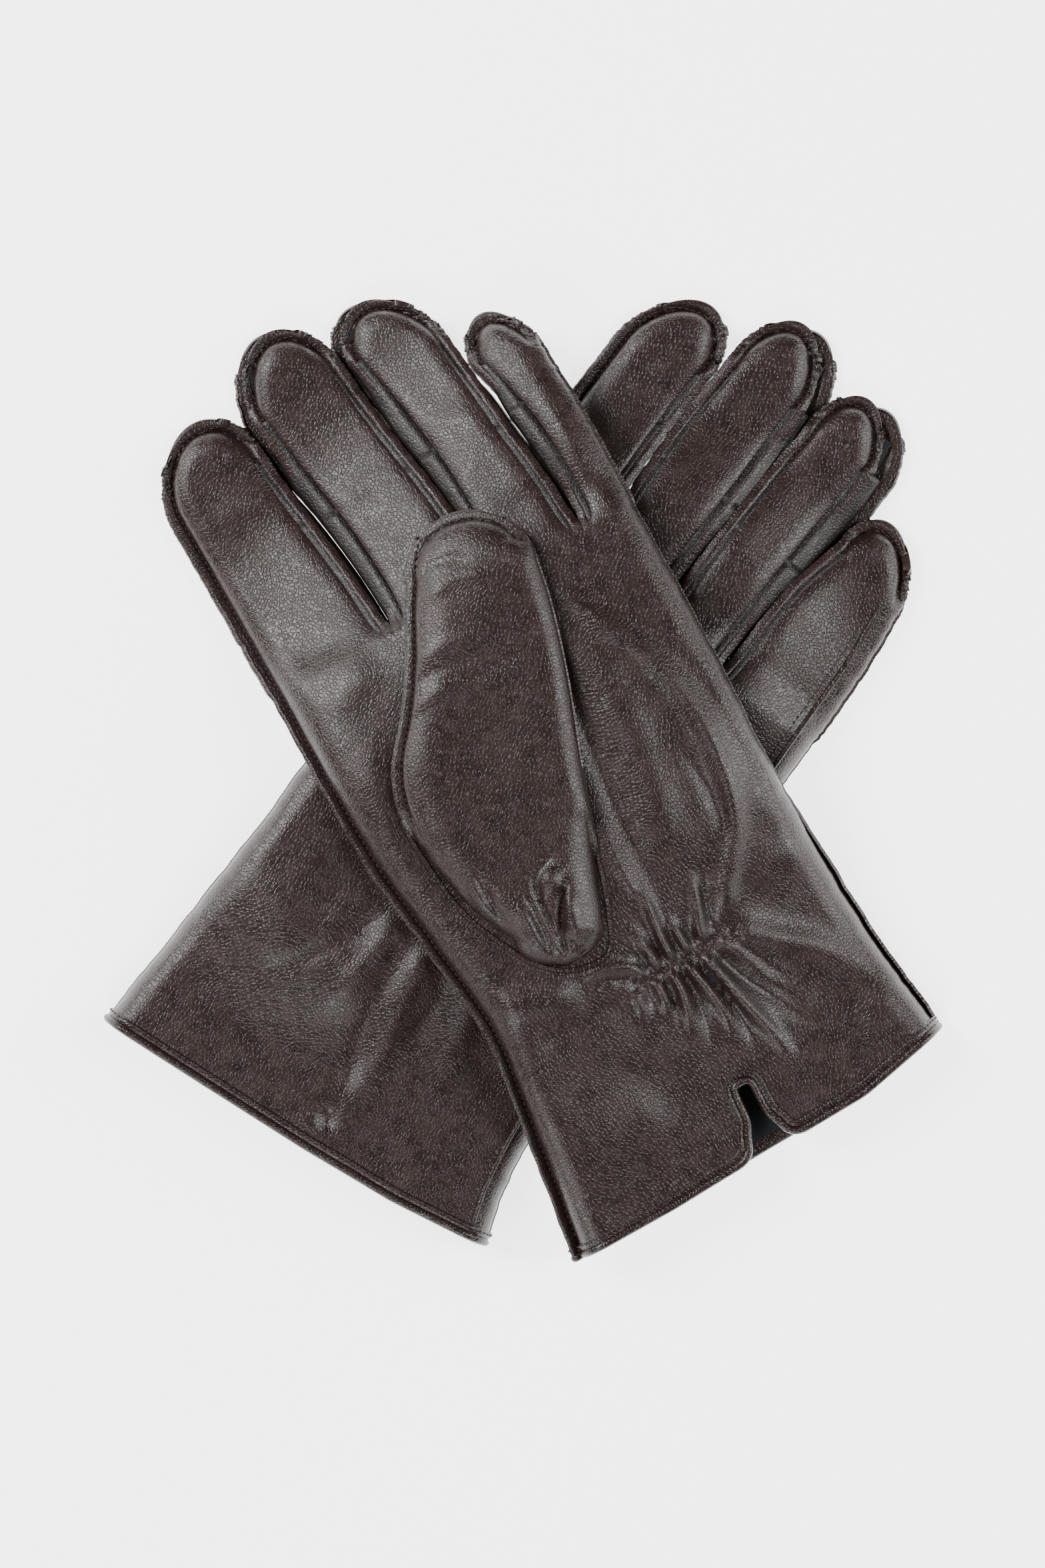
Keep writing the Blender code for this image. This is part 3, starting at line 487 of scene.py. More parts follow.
def strip_half(strip, v, to_left, to_right, styles):
    """Half the thickness everywhere on a strip. styles says what its outer side is: seam or fold."""
    full = full_half(v)[:, None] * np.ones_like(to_left)
    opening = smooth((v - 1.0) * 14)[:, None]
    tip = smooth((v - 2) * 1.7)[:, None]
    halves = []
    for side, d in ((0, to_left), (1, to_right)):
        seam = seam_profile(d, full, mix(8.0, 5.5, smooth((v - 1) * 2))[:, None])
        valley = 0.45 * np.exp(-(((d - STITCH_IN) / 0.45) ** 2))
        gap = mix(full * GAP_EDGE, full, rounded((d - STITCH_IN - 0.1) / 5)) - valley
        gap = gap - 0.2 * smooth(1 - d / 0.9)
        fold = fold_profile(d, full, 7.5)
        if strip + side not in (0, 4):
            at_side = mix(full, mix(gap, seam, tip), opening)
        elif styles[side] == "fold":
            at_side = mix(fold, seam, tip)
        elif styles[side] == "cuff fold":
            at_side = mix(fold, seam, smooth((v - 0.8) * 5)[:, None])
        else:
            at_side = seam
        halves.append(at_side)
    return full, np.minimum(*halves)


# %% Making a skin: fine grids, joined where the strips meet, and shaped by arrays
def new_grid(bm, plan, values):
    """Adds a grid in bm and puts its vertices at plan; values go to the vertex layers of their names."""
    rows, columns = plan.shape[:2]
    made = bmesh.ops.create_grid(bm, x_segments=columns - 1, y_segments=rows - 1, size=0.5)["verts"]
    for vert in made:
        column = round((vert.co.x + 0.5) * (columns - 1))
        row = round((vert.co.y + 0.5) * (rows - 1))
        vert.co = plan[row, column]
        for layer, value in values.items():
            vert[layer] = float(value[row, column])
    return made


def noise_field(points, size, seed):
    """Smooth noise, about -1 to 1, with lumps of the given size in millimetres."""
    shift = Vector((seed * 17.3, seed * 5.1, seed * 9.7))
    return np.array([noise.noise(Vector((x / size, y / size, 0)) + shift) for x, y in points])


# %% A strip of skin, or of what lies at a depth under it
LEFT["seed"], RIGHT["seed"] = 2, 9
LEFT["styles"], RIGHT["styles"] = ("seam", "fold"), ("cuff fold", "fold")
LEFT["folds"], RIGHT["folds"] = LEFT_PALM_FOLDS, RIGHT_BACK_FOLDS
LEFT["under_shift"] = {1: -2.0, 2: -2.5}
RIGHT["under_shift"] = {1: 4.5, 2: 6.0}


def lumps_at(points, seed):
    """The slight unevenness of a hide that lies slack, in millimetres."""
    flat = points.reshape(-1, 2)
    lumps = 0.45 * noise_field(flat, 26, seed) + 0.24 * noise_field(flat, 11, seed + 1)
    return lumps.reshape(points.shape[:-1])


def strip_skin(glove, strip, palm, pitch, lead=EDGE_MM, depth=0.0):
    """A strip of the palm or the back. Its points are plan x and y, and height, by row and column."""
    top = palm == glove["palm_up"]
    v = row_list(glove, strip, pitch, lead)
    spread = TOP_SPREAD if top else UNDER_SPREAD
    plan, to_left, to_right = strip_plan(glove, strip, v, palm, spread, pitch, lead)
    if not top:
        plan[..., 0] += glove["under_shift"].get(strip, 0) * smooth((v - 1.0) / 0.9)[:, None]
        if strip == 3 and glove["palm_up"]:
            near_side = smooth(1 - to_right / 20)
            near_cuff = smooth((80 - plan[..., 1]) / 30) * smooth((plan[..., 1] + 4) / 12)
            plan[..., 0] += 1.5 * near_side * near_cuff
    full, half = strip_half(strip, v, to_left, to_right, glove["styles"])
    x, y = plan[..., 0], plan[..., 1]
    edge = np.minimum(to_left, to_right)
    in_hand = np.ones_like(edge)
    if strip == 0:
        in_hand = smooth((to_left - 1) / 5)
    if strip == 3:
        in_hand = smooth((to_right - 1) / 5)
    body = np.where(v[:, None] < 1, in_hand, smooth((edge - 1) / 6))
    lumps = lumps_at(plan, glove["seed"] + (3 if palm else 0)) * body
    cut = np.clip(-edge / CUT, 0, 1)
    ground = rest_height(glove, x, y) + SAG * (full - half)
    if top:
        z = ground + 2 * half + lumps + all_folds(x, y, glove["folds"]) * body - 0.6 * cut - depth
    else:
        z = np.maximum(ground + 0.6 * cut, 0) + 0.3 * np.clip(-lumps, 0, None) + depth
    return {"points": np.dstack([x, y, z]), "v": v, "strip": strip, "edge": edge}


# %% From arrays of points to a mesh that is ready to dress
LAYERS = ("plan_x", "plan_y", "plan_z", "along", "strip", "edge")


def new_layers(bm):
    return {key: bm.verts.layers.float.new(key) for key in LAYERS}


def add_patch(bm, layers, glove, points, along, strip=0.0, edge=9.0):
    """Adds a grid at points in the glove's plan, and keeps the plan position of each vertex for the grain."""
    ones = np.ones(points.shape[:2])
    values = (points[..., 0], points[..., 1], points[..., 2], along * ones, strip * ones, edge * ones)
    return new_grid(bm, to_world(glove, points), {layers[key]: value for key, value in zip(LAYERS, values)})


def link_mesh(name, mesh, finishes):
    mesh.materials.clear()
    for finish in finishes:
        mesh.materials.append(finish)
    obj = bpy.data.objects.new(name, mesh)
    bpy.context.scene.collection.objects.link(obj)
    return obj


def to_object(name, bm, finishes):
    for face in bm.faces:
        face.smooth = True
    mesh = bpy.data.meshes.new(name)
    bm.to_mesh(mesh)
    bm.free()
    return link_mesh(name, mesh, finishes)


def thicken(obj, thickness, offset=-1, rim_slot=1, inner_slot=2):
    """Gives a sheet its thickness for good."""
    wall = obj.modifiers.new("thickness", "SOLIDIFY")
    wall.thickness = thickness * MM
    wall.offset = offset
    wall.material_offset = inner_slot
    wall.material_offset_rim = rim_slot
    graph = bpy.context.evaluated_depsgraph_get()
    mesh = bpy.data.meshes.new_from_object(obj.evaluated_get(graph))
    obj.modifiers.clear()
    obj.data = mesh


def keep_hide(mesh):
    """Gathers the plan position of each vertex into one vector, which the leather's grain follows."""
    count = len(mesh.vertices)
    plan = np.zeros((count, 3), np.float32)
    for k, key in enumerate(LAYERS[:3]):
        column = np.zeros(count, np.float32)
        mesh.attributes[key].data.foreach_get("value", column)
        plan[:, k] = column
        mesh.attributes.remove(mesh.attributes[key])
    mesh.attributes.new("hide", "FLOAT_VECTOR", "POINT").data.foreach_set("vector", plan.ravel())


def drop_layers(mesh, keys):
    for key in keys:
        if key in mesh.attributes:
            mesh.attributes.remove(mesh.attributes[key])


def remember_normals(mesh, sharp=math.radians(62)):
    mesh.set_sharp_from_angle(angle=sharp)
    normals = np.zeros(len(mesh.loops) * 3, np.float32)
    mesh.corner_normals.foreach_get("vector", normals)
    mesh.attributes.new("kept_normal", "FLOAT_VECTOR", "CORNER").data.foreach_set("vector", normals)


def face_means(mesh, key):
    """The mean over each face of a value kept at the vertices."""
    value = np.zeros(len(mesh.vertices), np.float32)
    mesh.attributes[key].data.foreach_get("value", value)
    corner = np.zeros(len(mesh.loops), np.int32)
    mesh.loops.foreach_get("vertex_index", corner)
    first = np.zeros(len(mesh.polygons), np.int32)
    mesh.polygons.foreach_get("loop_start", first)
    sums = np.add.reduceat(value[corner], first)
    return sums / np.diff(np.append(first, len(corner)))


def split_piece(name, whole, keep, finishes):
    """A copy of the faces that keep marks, shaded just as they were in the whole."""
    bm = bmesh.new()
    bm.from_mesh(whole)
    gone = [face for face, kept in zip(bm.faces, keep) if not kept]
    bmesh.ops.delete(bm, geom=gone, context="FACES")
    mesh = bpy.data.meshes.new(name)
    bm.to_mesh(mesh)
    bm.free()
    kept = np.zeros(len(mesh.loops) * 3, np.float32)
    mesh.attributes["kept_normal"].data.foreach_get("vector", kept)
    drop_layers(mesh, ("kept_normal", "along", "strip", "edge"))
    mesh.normals_split_custom_set(kept.reshape(-1, 3))
    return link_mesh(name, mesh, finishes)


# %% [markdown]
# ## Finishes
# Nappa is full-grain lambskin, drum dyed and finished with a thin semi-gloss film. Its grain is a fine
# pebble of a little under a millimetre, with longer, softer wrinkles over it. A cut edge shows the
# fibrous, redder flesh of the skin with no film on it. The lining is a black jersey knit.

# %% Helpers for materials
def linear(hex_colour):
    """An sRGB hex value as linear red, green, blue and alpha."""
    channels = [int(hex_colour[k:k + 2], 16) / 255 for k in (0, 2, 4)]
    return (*(c / 12.92 if c <= 0.04045 else ((c + 0.055) / 1.055) ** 2.4 for c in channels), 1.0)


def add_node(tree, kind, settings=(), links=()):
    """Adds a node; settings are its properties or its sockets' values, links are its sockets' sources."""
    made = tree.nodes.new(kind)
    for key, value in dict(settings).items():
        if isinstance(key, str) and hasattr(made, key):
            setattr(made, key, value)
        else:
            made.inputs[key].default_value = value
    for key, source in dict(links).items():
        tree.links.new(source, made.inputs[key])
    return made


def principled(name, colour, roughness, **more):
    finish = bpy.data.materials.new(name)
    finish.use_nodes = True
    shader = finish.node_tree.nodes["Principled BSDF"]
    shader.inputs["Base Color"].default_value = linear(colour)
    shader.inputs["Roughness"].default_value = roughness
    for key, value in more.items():
        shader.inputs[key.replace("_", " ")].default_value = value
    return finish, finish.node_tree, shader


# %% Nappa leather
GRAIN_MM = 0.95


def nappa(name, dark, light, roughness):
    """Drum-dyed lambskin: a pebble grain, soft wrinkles over it, and a slightly uneven dye and film."""
    finish, tree, shader = principled(name, dark, roughness, Specular_IOR_Level=0.46)
    hide = add_node(tree, "ShaderNodeAttribute", {"attribute_name": "hide"}).outputs["Vector"]
    drift = add_node(tree, "ShaderNodeTexNoise", {"Scale": 1 / 2.2, "Detail": 2.0}, {"Vector": hide})
    wander = add_node(
        tree, "ShaderNodeVectorMath", {"operation": "SCALE", "Scale": 0.5}, {0: drift.outputs["Color"]},
    )
    bent = add_node(tree, "ShaderNodeVectorMath", {"operation": "ADD"}, {0: hide, 1: wander.outputs[0]})
    cells = add_node(
        tree, "ShaderNodeTexVoronoi",
        {"feature": "DISTANCE_TO_EDGE", "Scale": 1 / GRAIN_MM}, {"Vector": bent.outputs[0]},
    )
    pebble = add_node(
        tree, "ShaderNodeMapRange",
        {"interpolation_type": "SMOOTHSTEP", "From Min": 0.0, "From Max": 0.22, "To Min": 0.0, "To Max": 1.0},
        {"Value": cells.outputs["Distance"]},
    )
    fine = add_node(tree, "ShaderNodeTexNoise", {"Scale": 1 / 0.35, "Detail": 3.0}, {"Vector": hide})
    soft = add_node(
        tree, "ShaderNodeTexNoise", {"Scale": 1 / 4.5, "Detail": 3.0, "Roughness": 0.55}, {"Vector": hide},
    )
    stretched = add_node(
        tree, "ShaderNodeMapping", {"Scale": (1.0, 0.35, 1.0), "Rotation": (0, 0, 0.5)}, {"Vector": hide},
    )
    wrinkle = add_node(
        tree, "ShaderNodeTexNoise",
        {"Scale": 1 / 2.0, "Detail": 2.0, "Roughness": 0.5}, {"Vector": stretched.outputs[0]},
    )
    first = add_node(
        tree, "ShaderNodeBump", {"Strength": 0.6, "Distance": 0.09 * MM}, {"Height": pebble.outputs[0]},
    )
    second = add_node(
        tree, "ShaderNodeBump", {"Strength": 0.25, "Distance": 0.03 * MM},
        {"Height": fine.outputs["Fac"], "Normal": first.outputs[0]},
    )
    third = add_node(
        tree, "ShaderNodeBump", {"Strength": 0.15, "Distance": 0.12 * MM},
        {"Height": wrinkle.outputs["Fac"], "Normal": second.outputs[0]},
    )
    tree.links.new(third.outputs[0], shader.inputs["Normal"])
    tone = add_node(
        tree, "ShaderNodeMapRange", {"From Min": 0.3, "From Max": 0.75, "To Min": 0.0, "To Max": 1.0},
        {"Value": soft.outputs["Fac"]},
    )
    dye = add_node(tree, "ShaderNodeMix", {"data_type": "RGBA"}, {"Factor": tone.outputs[0]})
    dye.inputs[6].default_value = linear(dark)
    dye.inputs[7].default_value = linear(light)
    pores = add_node(
        tree, "ShaderNodeMix", {"data_type": "RGBA", "blend_type": "MULTIPLY"}, {6: dye.outputs[2]},
    )
    pores.inputs[7].default_value = (0.62, 0.6, 0.6, 1)
    invert = add_node(
        tree, "ShaderNodeMapRange", {"From Min": 0.0, "From Max": 1.0, "To Min": 0.5, "To Max": 0.0},
        {"Value": pebble.outputs[0]},
    )
    tree.links.new(invert.outputs[0], pores.inputs["Factor"])
    tree.links.new(pores.outputs[2], shader.inputs["Base Color"])
    gloss = add_node(
        tree, "ShaderNodeMapRange",
        {"From Min": 0.3, "From Max": 0.7, "To Min": roughness - 0.06, "To Max": roughness + 0.07},
        {"Value": soft.outputs["Fac"]},
    )
    tree.links.new(gloss.outputs[0], shader.inputs["Roughness"])
    return finish


LEATHER_SKIN = nappa("drum-dyed brown nappa", "1f1310", "2a1a17", 0.35)
BINDING_SKIN = nappa("brown nappa cut for the binding", "1c110e", "261714", 0.3)
# The fourchettes take a darker copy of the same nappa: painted shade for the narrow gaps between the fingers.
FOURCHETTE_SHADED_SKIN = nappa("thinner nappa for the fourchettes", "120b0a", "1a110f", 0.42)


# %% The cut edge and the flesh side
def suede(name, dark, light):
    """The fibrous flesh of the skin: redder than the finished side, matt, with a short nap."""
    finish, tree, shader = principled(
        name, dark, 0.9, Specular_IOR_Level=0.2, Sheen_Weight=0.35, Sheen_Roughness=0.5,
    )
    hide = add_node(tree, "ShaderNodeAttribute", {"attribute_name": "hide"}).outputs["Vector"]
    nap = add_node(
        tree, "ShaderNodeTexNoise", {"Scale": 1 / 0.3, "Detail": 4.0, "Roughness": 0.7}, {"Vector": hide},
    )
    patch = add_node(tree, "ShaderNodeTexNoise", {"Scale": 1 / 3.0, "Detail": 2.0}, {"Vector": hide})
    both = add_node(
        tree, "ShaderNodeMath", {"operation": "MULTIPLY"}, {0: nap.outputs["Fac"], 1: patch.outputs["Fac"]},
    )
    share = add_node(
        tree, "ShaderNodeMapRange", {"From Min": 0.12, "From Max": 0.4}, {"Value": both.outputs[0]},
    )
    tone = add_node(tree, "ShaderNodeMix", {"data_type": "RGBA"}, {"Factor": share.outputs[0]})
    tone.inputs[6].default_value = linear(dark)
    tone.inputs[7].default_value = linear(light)
    tree.links.new(tone.outputs[2], shader.inputs["Base Color"])
    bump = add_node(
        tree, "ShaderNodeBump", {"Strength": 0.7, "Distance": 0.15 * MM}, {"Height": nap.outputs["Fac"]},
    )
    tree.links.new(bump.outputs[0], shader.inputs["Normal"])
    return finish


CUT_EDGE = suede("raw cut edge of the skin", "3a211e", "6a423d")
FLESH = suede("flesh side of the skin", "33231f", "4a3532")
THREAD = principled("bonded sewing thread", "2a1f1e", 0.5, Specular_IOR_Level=0.4)[0]


# %% The knitted lining and the elastic
def jersey(name, dark, light, pitch_mm):
    """A fine jersey: rows of loops, drawn a little coarser than real so that they show."""
    finish, tree, shader = principled(name, dark, 0.95, Specular_IOR_Level=0.15, Sheen_Weight=0.3)
    place = add_node(tree, "ShaderNodeTexCoord").outputs["Object"]
    rows = add_node(
        tree, "ShaderNodeTexWave",
        {"wave_type": "BANDS", "Scale": 1 / (pitch_mm * MM) / 20, "Distortion": 1.2, "Detail": 1.0},
        {"Vector": place},
    )
    tone = add_node(tree, "ShaderNodeMix", {"data_type": "RGBA"}, {"Factor": rows.outputs["Fac"]})
    tone.inputs[6].default_value = linear(dark)
    tone.inputs[7].default_value = linear(light)
    tree.links.new(tone.outputs[2], shader.inputs["Base Color"])
    bump = add_node(
        tree, "ShaderNodeBump", {"Strength": 0.6, "Distance": 0.3 * MM}, {"Height": rows.outputs["Fac"]},
    )
    tree.links.new(bump.outputs[0], shader.inputs["Normal"])
    return finish


KNIT = jersey("black jersey lining", "15171a", "24272a", 1.1)
WEBBING = jersey("woven wrist elastic", "2a2826", "3b3835", 1.6)
print("finishes:", len(bpy.data.materials))

# %% [markdown]
# ## Palms and backs
# Each panel is made whole, with its four fingers, so that the leather runs smoothly through every bend. Then
# it is cut at the bends, because each finger moves with its own body, and every piece keeps the shading that
# it had in the whole.

# %% Which body a piece moves with
JOINTS = {joint["name"]: joint for joint in frame["joints"]}


def ride_hand(glove, piece):
    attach(piece, f"{glove['name']}_hand")


def bend_with(glove, finger, piece):
    """Bakes the piece's placement into its mesh; the joint's axis and forward direction are worked out but
    not used.
    """
    joint = JOINTS[f"{glove['name']}_{finger}_bend"]
    start, axis = Vector(joint["pos_m"]), Vector(joint["axis"])
    forward = Vector((0, 0, 1)).cross(axis).normalized()
    if forward.dot(Vector((-math.sin(glove["turn"]), math.cos(glove["turn"]), 0))) < 0:
        forward = -forward
    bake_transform(piece)


def finish_piece(glove, piece, finger, replaced):
    for node in replaced:
        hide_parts(f"{glove['name']}_{node}")
    if finger:
        bend_with(glove, finger, piece)
    else:
        ride_hand(glove, piece)


# %% Build the panels
PITCH = 1.15
FINE_PITCH = 0.8  # for the palm that shows its gathers
SKIN_FINISHES = (LEATHER_SKIN, CUT_EDGE, FLESH)
PANELS = {}


def plain_side(glove, strip, v):
    """Whether the outer border of a strip is a fold there, with no cut edge to see."""
    if strip == 3:
        return v < 2.3 and glove["styles"][1] == "fold"
    return strip == 0 and v < 0.9 and glove["styles"][0] == "cuff fold"


def in_thumb_opening(x, y):
    dx, dy = x - THUMB_BASE[0], y - THUMB_BASE[1]
    u = dx * math.cos(THUMB_LEAN) - dy * math.sin(THUMB_LEAN)
    w = dx * math.sin(THUMB_LEAN) + dy * math.cos(THUMB_LEAN)
    return ((u + 7) / 12) ** 2 + ((w - 27) / 17) ** 2 < 1


def build_panel(glove, palm):
    side = "palm" if palm else "back"
    pitch = FINE_PITCH if palm and glove["palm_up"] else PITCH
    strips = [strip_skin(glove, strip, palm, pitch) for strip in range(4)]
    PANELS[glove["name"], palm] = strips
    bm = bmesh.new()
    layers = new_layers(bm)
    for skin in strips:
        along = skin["v"][:, None]
        add_patch(bm, layers, glove, skin["points"], along, skin["strip"], skin["edge"])
    bmesh.ops.remove_doubles(bm, verts=bm.verts, dist=MERGE)
    edge, along, strip_at = layers["edge"], layers["along"], layers["strip"]
    hole = []
    for face in bm.faces:
        corners = face.verts
        if corners[0][edge] < 0.01 and max(v[edge] for v in corners) < 0.01:
            strip = round(sum(v[strip_at] for v in corners) / 4)
            outer_fold = plain_side(glove, strip, corners[0][along])
            left = glove["outer"][0][0][0] / 2 > corners[0][layers["plan_x"]]
            right = corners[0][layers["plan_x"]] > glove["outer"][1][0][0] / 2
            face.material_index = 0 if outer_fold and (left or right) else 1
        if palm and in_thumb_opening(corners[0][layers["plan_x"]], corners[0][layers["plan_y"]]):
            hole.append(face)
    if hole:
        bmesh.ops.delete(bm, geom=hole, context="FACES")
    if palm != glove["palm_up"]:
        bmesh.ops.reverse_faces(bm, faces=bm.faces)
    whole = to_object(f"{glove['name']}_{side}_whole", bm, SKIN_FINISHES)
    thicken(whole, LEATHER)
    keep_hide(whole.data)
    remember_normals(whole.data)
    return whole


def cut_at_bends(glove, whole, names, finishes):
    """names: what each piece is called and which nodes it stands for, for the hand and then each finger."""
    bends = np.array([bend_v(glove, strip) for strip in range(4)])
    along, strip = face_means(whole.data, "along"), np.round(face_means(whole.data, "strip")).astype(int)
    beyond = along > bends[strip]
    for k, (name, replaced) in enumerate(names):
        keep = beyond & (strip == k - 1) if k else ~beyond
        piece = split_piece(name, whole.data, keep, finishes)
        finish_piece(glove, piece, FINGERS[k - 1] if k else None, replaced)
    bpy.data.objects.remove(whole)


for glove in (RIGHT, LEFT):
    for palm in (True, False):
        side = "palm" if palm else "back"
        names = [(f"{glove['name']}_{side}_skin", [side])]
        names += [(f"{glove['name']}_{finger}_{side}_skin", [f"{finger}_{side}"]) for finger in FINGERS]
        whole = build_panel(glove, palm)
        print(whole.name, len(whole.data.polygons), "faces")
        cut_at_bends(glove, whole, names, SKIN_FINISHES)

# %% [markdown]
# ## Linings and elastic
# The jersey follows the leather at a small depth. It stops short of the seams.

# %% Knitted linings, cut at the bends like the skins
LINING_LEAD = np.array([4.7])
LINING_PITCH = 2.4
LINING_DEPTH = LEATHER + 1.1
ELASTIC_DEPTH = LEATHER + 0.5
KNIT_THICKNESS = 0.5


def build_lining(glove):
    name = glove["name"]
    for palm in (True, False):
        bm = bmesh.new()
        layers = new_layers(bm)
        for strip in range(4):
            skin = strip_skin(glove, strip, palm, LINING_PITCH, LINING_LEAD, LINING_DEPTH)
            add_patch(bm, layers, glove, skin["points"][1:], skin["v"][1:, None], strip)
        bmesh.ops.remove_doubles(bm, verts=bm.verts, dist=MERGE)
        if palm != glove["palm_up"]:
            bmesh.ops.reverse_faces(bm, faces=bm.faces)
        side = "palm" if palm else "back"
        whole = to_object(f"{name}_{side}_lining_whole", bm, (KNIT,))
        thicken(whole, KNIT_THICKNESS, -1, 0, 0)
        keep_hide(whole.data)
        remember_normals(whole.data)
        names = [(f"{name}_{side}_lining_knit", [f"{side}_lining"])]
        names += [(f"{name}_{finger}_{side}_lining_knit", [f"{finger}_lining"]) for finger in FINGERS]
        cut_at_bends(glove, whole, names, (KNIT,))


def build_elastic(glove):
    """A band across the two middle strips of the palm, just above the wrist's crease."""
    bm = bmesh.new()
    layers = new_layers(bm)
    for strip in (1, 2):
        skin = strip_skin(glove, strip, True, PITCH, np.array([0.0, 2.0]), ELASTIC_DEPTH)
        rows = (skin["v"] > 0.3) & (skin["v"] < 0.35)
        add_patch(bm, layers, glove, skin["points"][rows], skin["v"][rows, None])
    bmesh.ops.remove_doubles(bm, verts=bm.verts, dist=MERGE)
    if not glove["palm_up"]:
        bmesh.ops.reverse_faces(bm, faces=bm.faces)
    band = to_object(f"{glove['name']}_wrist_elastic", bm, (WEBBING,))
    thicken(band, KNIT_THICKNESS, -1, 0, 0)
    keep_hide(band.data)
    drop_layers(band.data, ("along", "strip", "edge"))
    finish_piece(glove, band, None, ["elastic"])


for glove in (RIGHT, LEFT):
    build_lining(glove)
    build_elastic(glove)
print("linings and elastics done")

# %% [markdown]
# ## The thumb
# The thumb is a tube of its own leather, set into an oval opening in the palm. Its outer border is sewn and
# its inner border is a fold. Where it joins the palm, the cut edges of both leathers stand up as a lip, and
# the thumb swells out of the seam in a few short pleats.

# %% The thumb's outline and how high it stands
THUMB_PLEATS = (
    (((-9, 92), (-14, 89), (-18.5, 86), (-20, 80), (-20.5, 72), (-21, 66)), -0.9, 0.9, 0.3, 0.2),
    (((-14, 89), (-15, 84), (-15.5, 80)), 0.9, 3.0, 0.4, 0.4),
    (((-10, 84.5), (-15, 78), (-19, 71), (-20.5, 64)), -1.1, 0.8, 0.25, 0.15),
    (((-11.5, 81), (-14, 74), (-15.5, 66)), 0.9, 2.4, 0.3, 0.3),
    (((-18, 72.5), (-17.2, 67), (-14.5, 62.5)), -0.8, 0.7, 0.3, 0.2),
    (((-10.8, 71), (-11, 64)), 0.5, 1.2, 0.4, 0.3),
    (((-30, 98), (-31.3, 89), (-30.2, 78)), -0.7, 1.0, 0.4, 0.3),
    (((-35, 99), (-36, 91), (-35, 84)), -0.6, 0.8, 0.4, 0.3),
    (((-33, 98), (-33.6, 88), (-32.5, 80)), 0.5, 1.2, 0.4, 0.3),
    (((-25, 86), (-25.3, 77), (-26, 68)), 0.8, 1.8, 0.4, 0.25),
    (((-28, 92), (-28.2, 80), (-29, 71)), 0.5, 1.6, 0.4, 0.3),
    (((-22.5, 86), (-22.8, 75), (-23.5, 66)), -0.7, 1.0, 0.4, 0.2),
    (((-38.2, 119), (-37.6, 110)), 0.5, 1.4, 0.4, 0.4),
    (((-35.5, 120), (-35, 111)), -0.5, 0.8, 0.4, 0.4),
    (((-32, 138), (-18, 141), (-2, 137), (10, 139)), 0.35, 1.3, 0.3, 0.3),
    (((-30, 143), (-16, 146), (2, 144)), -0.35, 1.2, 0.3, 0.3),
    (((-27, 149), (-10, 151), (8, 147)), 0.3, 1.5, 0.3, 0.3),
    (((-12, 168), (-2, 171), (8, 167)), -0.35, 1.4, 0.3, 0.3),
    (((-12, 163), (0, 165), (12, 160)), 0.35, 1.8, 0.3, 0.3),
)
THUMB_LIP = (
    (-41.3, 118.5), (-41.8, 111), (-40.9, 100), (-39.5, 90), (-37.2, 82.5), (-34.3, 76.5), (-31.2, 70.5),
    (-28, 66), (-24, 62.6), (-20, 60.6), (-15, 59.7), (-11.3, 60.2), (-8.8, 62.4), (-7.1, 66), (-4.8, 72),
    (-2.8, 78), (-0.8, 85), (1.2, 91), (2.8, 97.5),
)
FOOT_W = THUMB_LEFT[0][1]
PLEAT_GAIN = 1.7  # the pleats stand out more than their heights in the list by this much
THUMB_OFF_PALM = 0.35  # the thumb's lower leather lies this far above the palm
THUMB_LINING_LEAD = np.array([3.4, 4.7])
THUMB_LINING_DEPTH = LEATHER + 0.5


def thumb_borders(w):
    left = np.stack([through(THUMB_LEFT, np.maximum(w, FOOT_W)), w], -1)
    right = np.stack([through(THUMB_RIGHT, np.maximum(w, FOOT_W)), w], -1)
    narrow = np.where(w < FOOT_W, rounded(w / FOOT_W), 1.0)[:, None]
    middle = (left + right) / 2
    return middle + (left - middle) * narrow, middle + (right - middle) * narrow


def distance_to(points, line):
    """How far each point lies from a line of points."""
    flat = points.reshape(-1, 1, 2)
    return np.hypot(flat[..., 0] - line[:, 0], flat[..., 1] - line[:, 1]).min(1).reshape(points.shape[:-1])


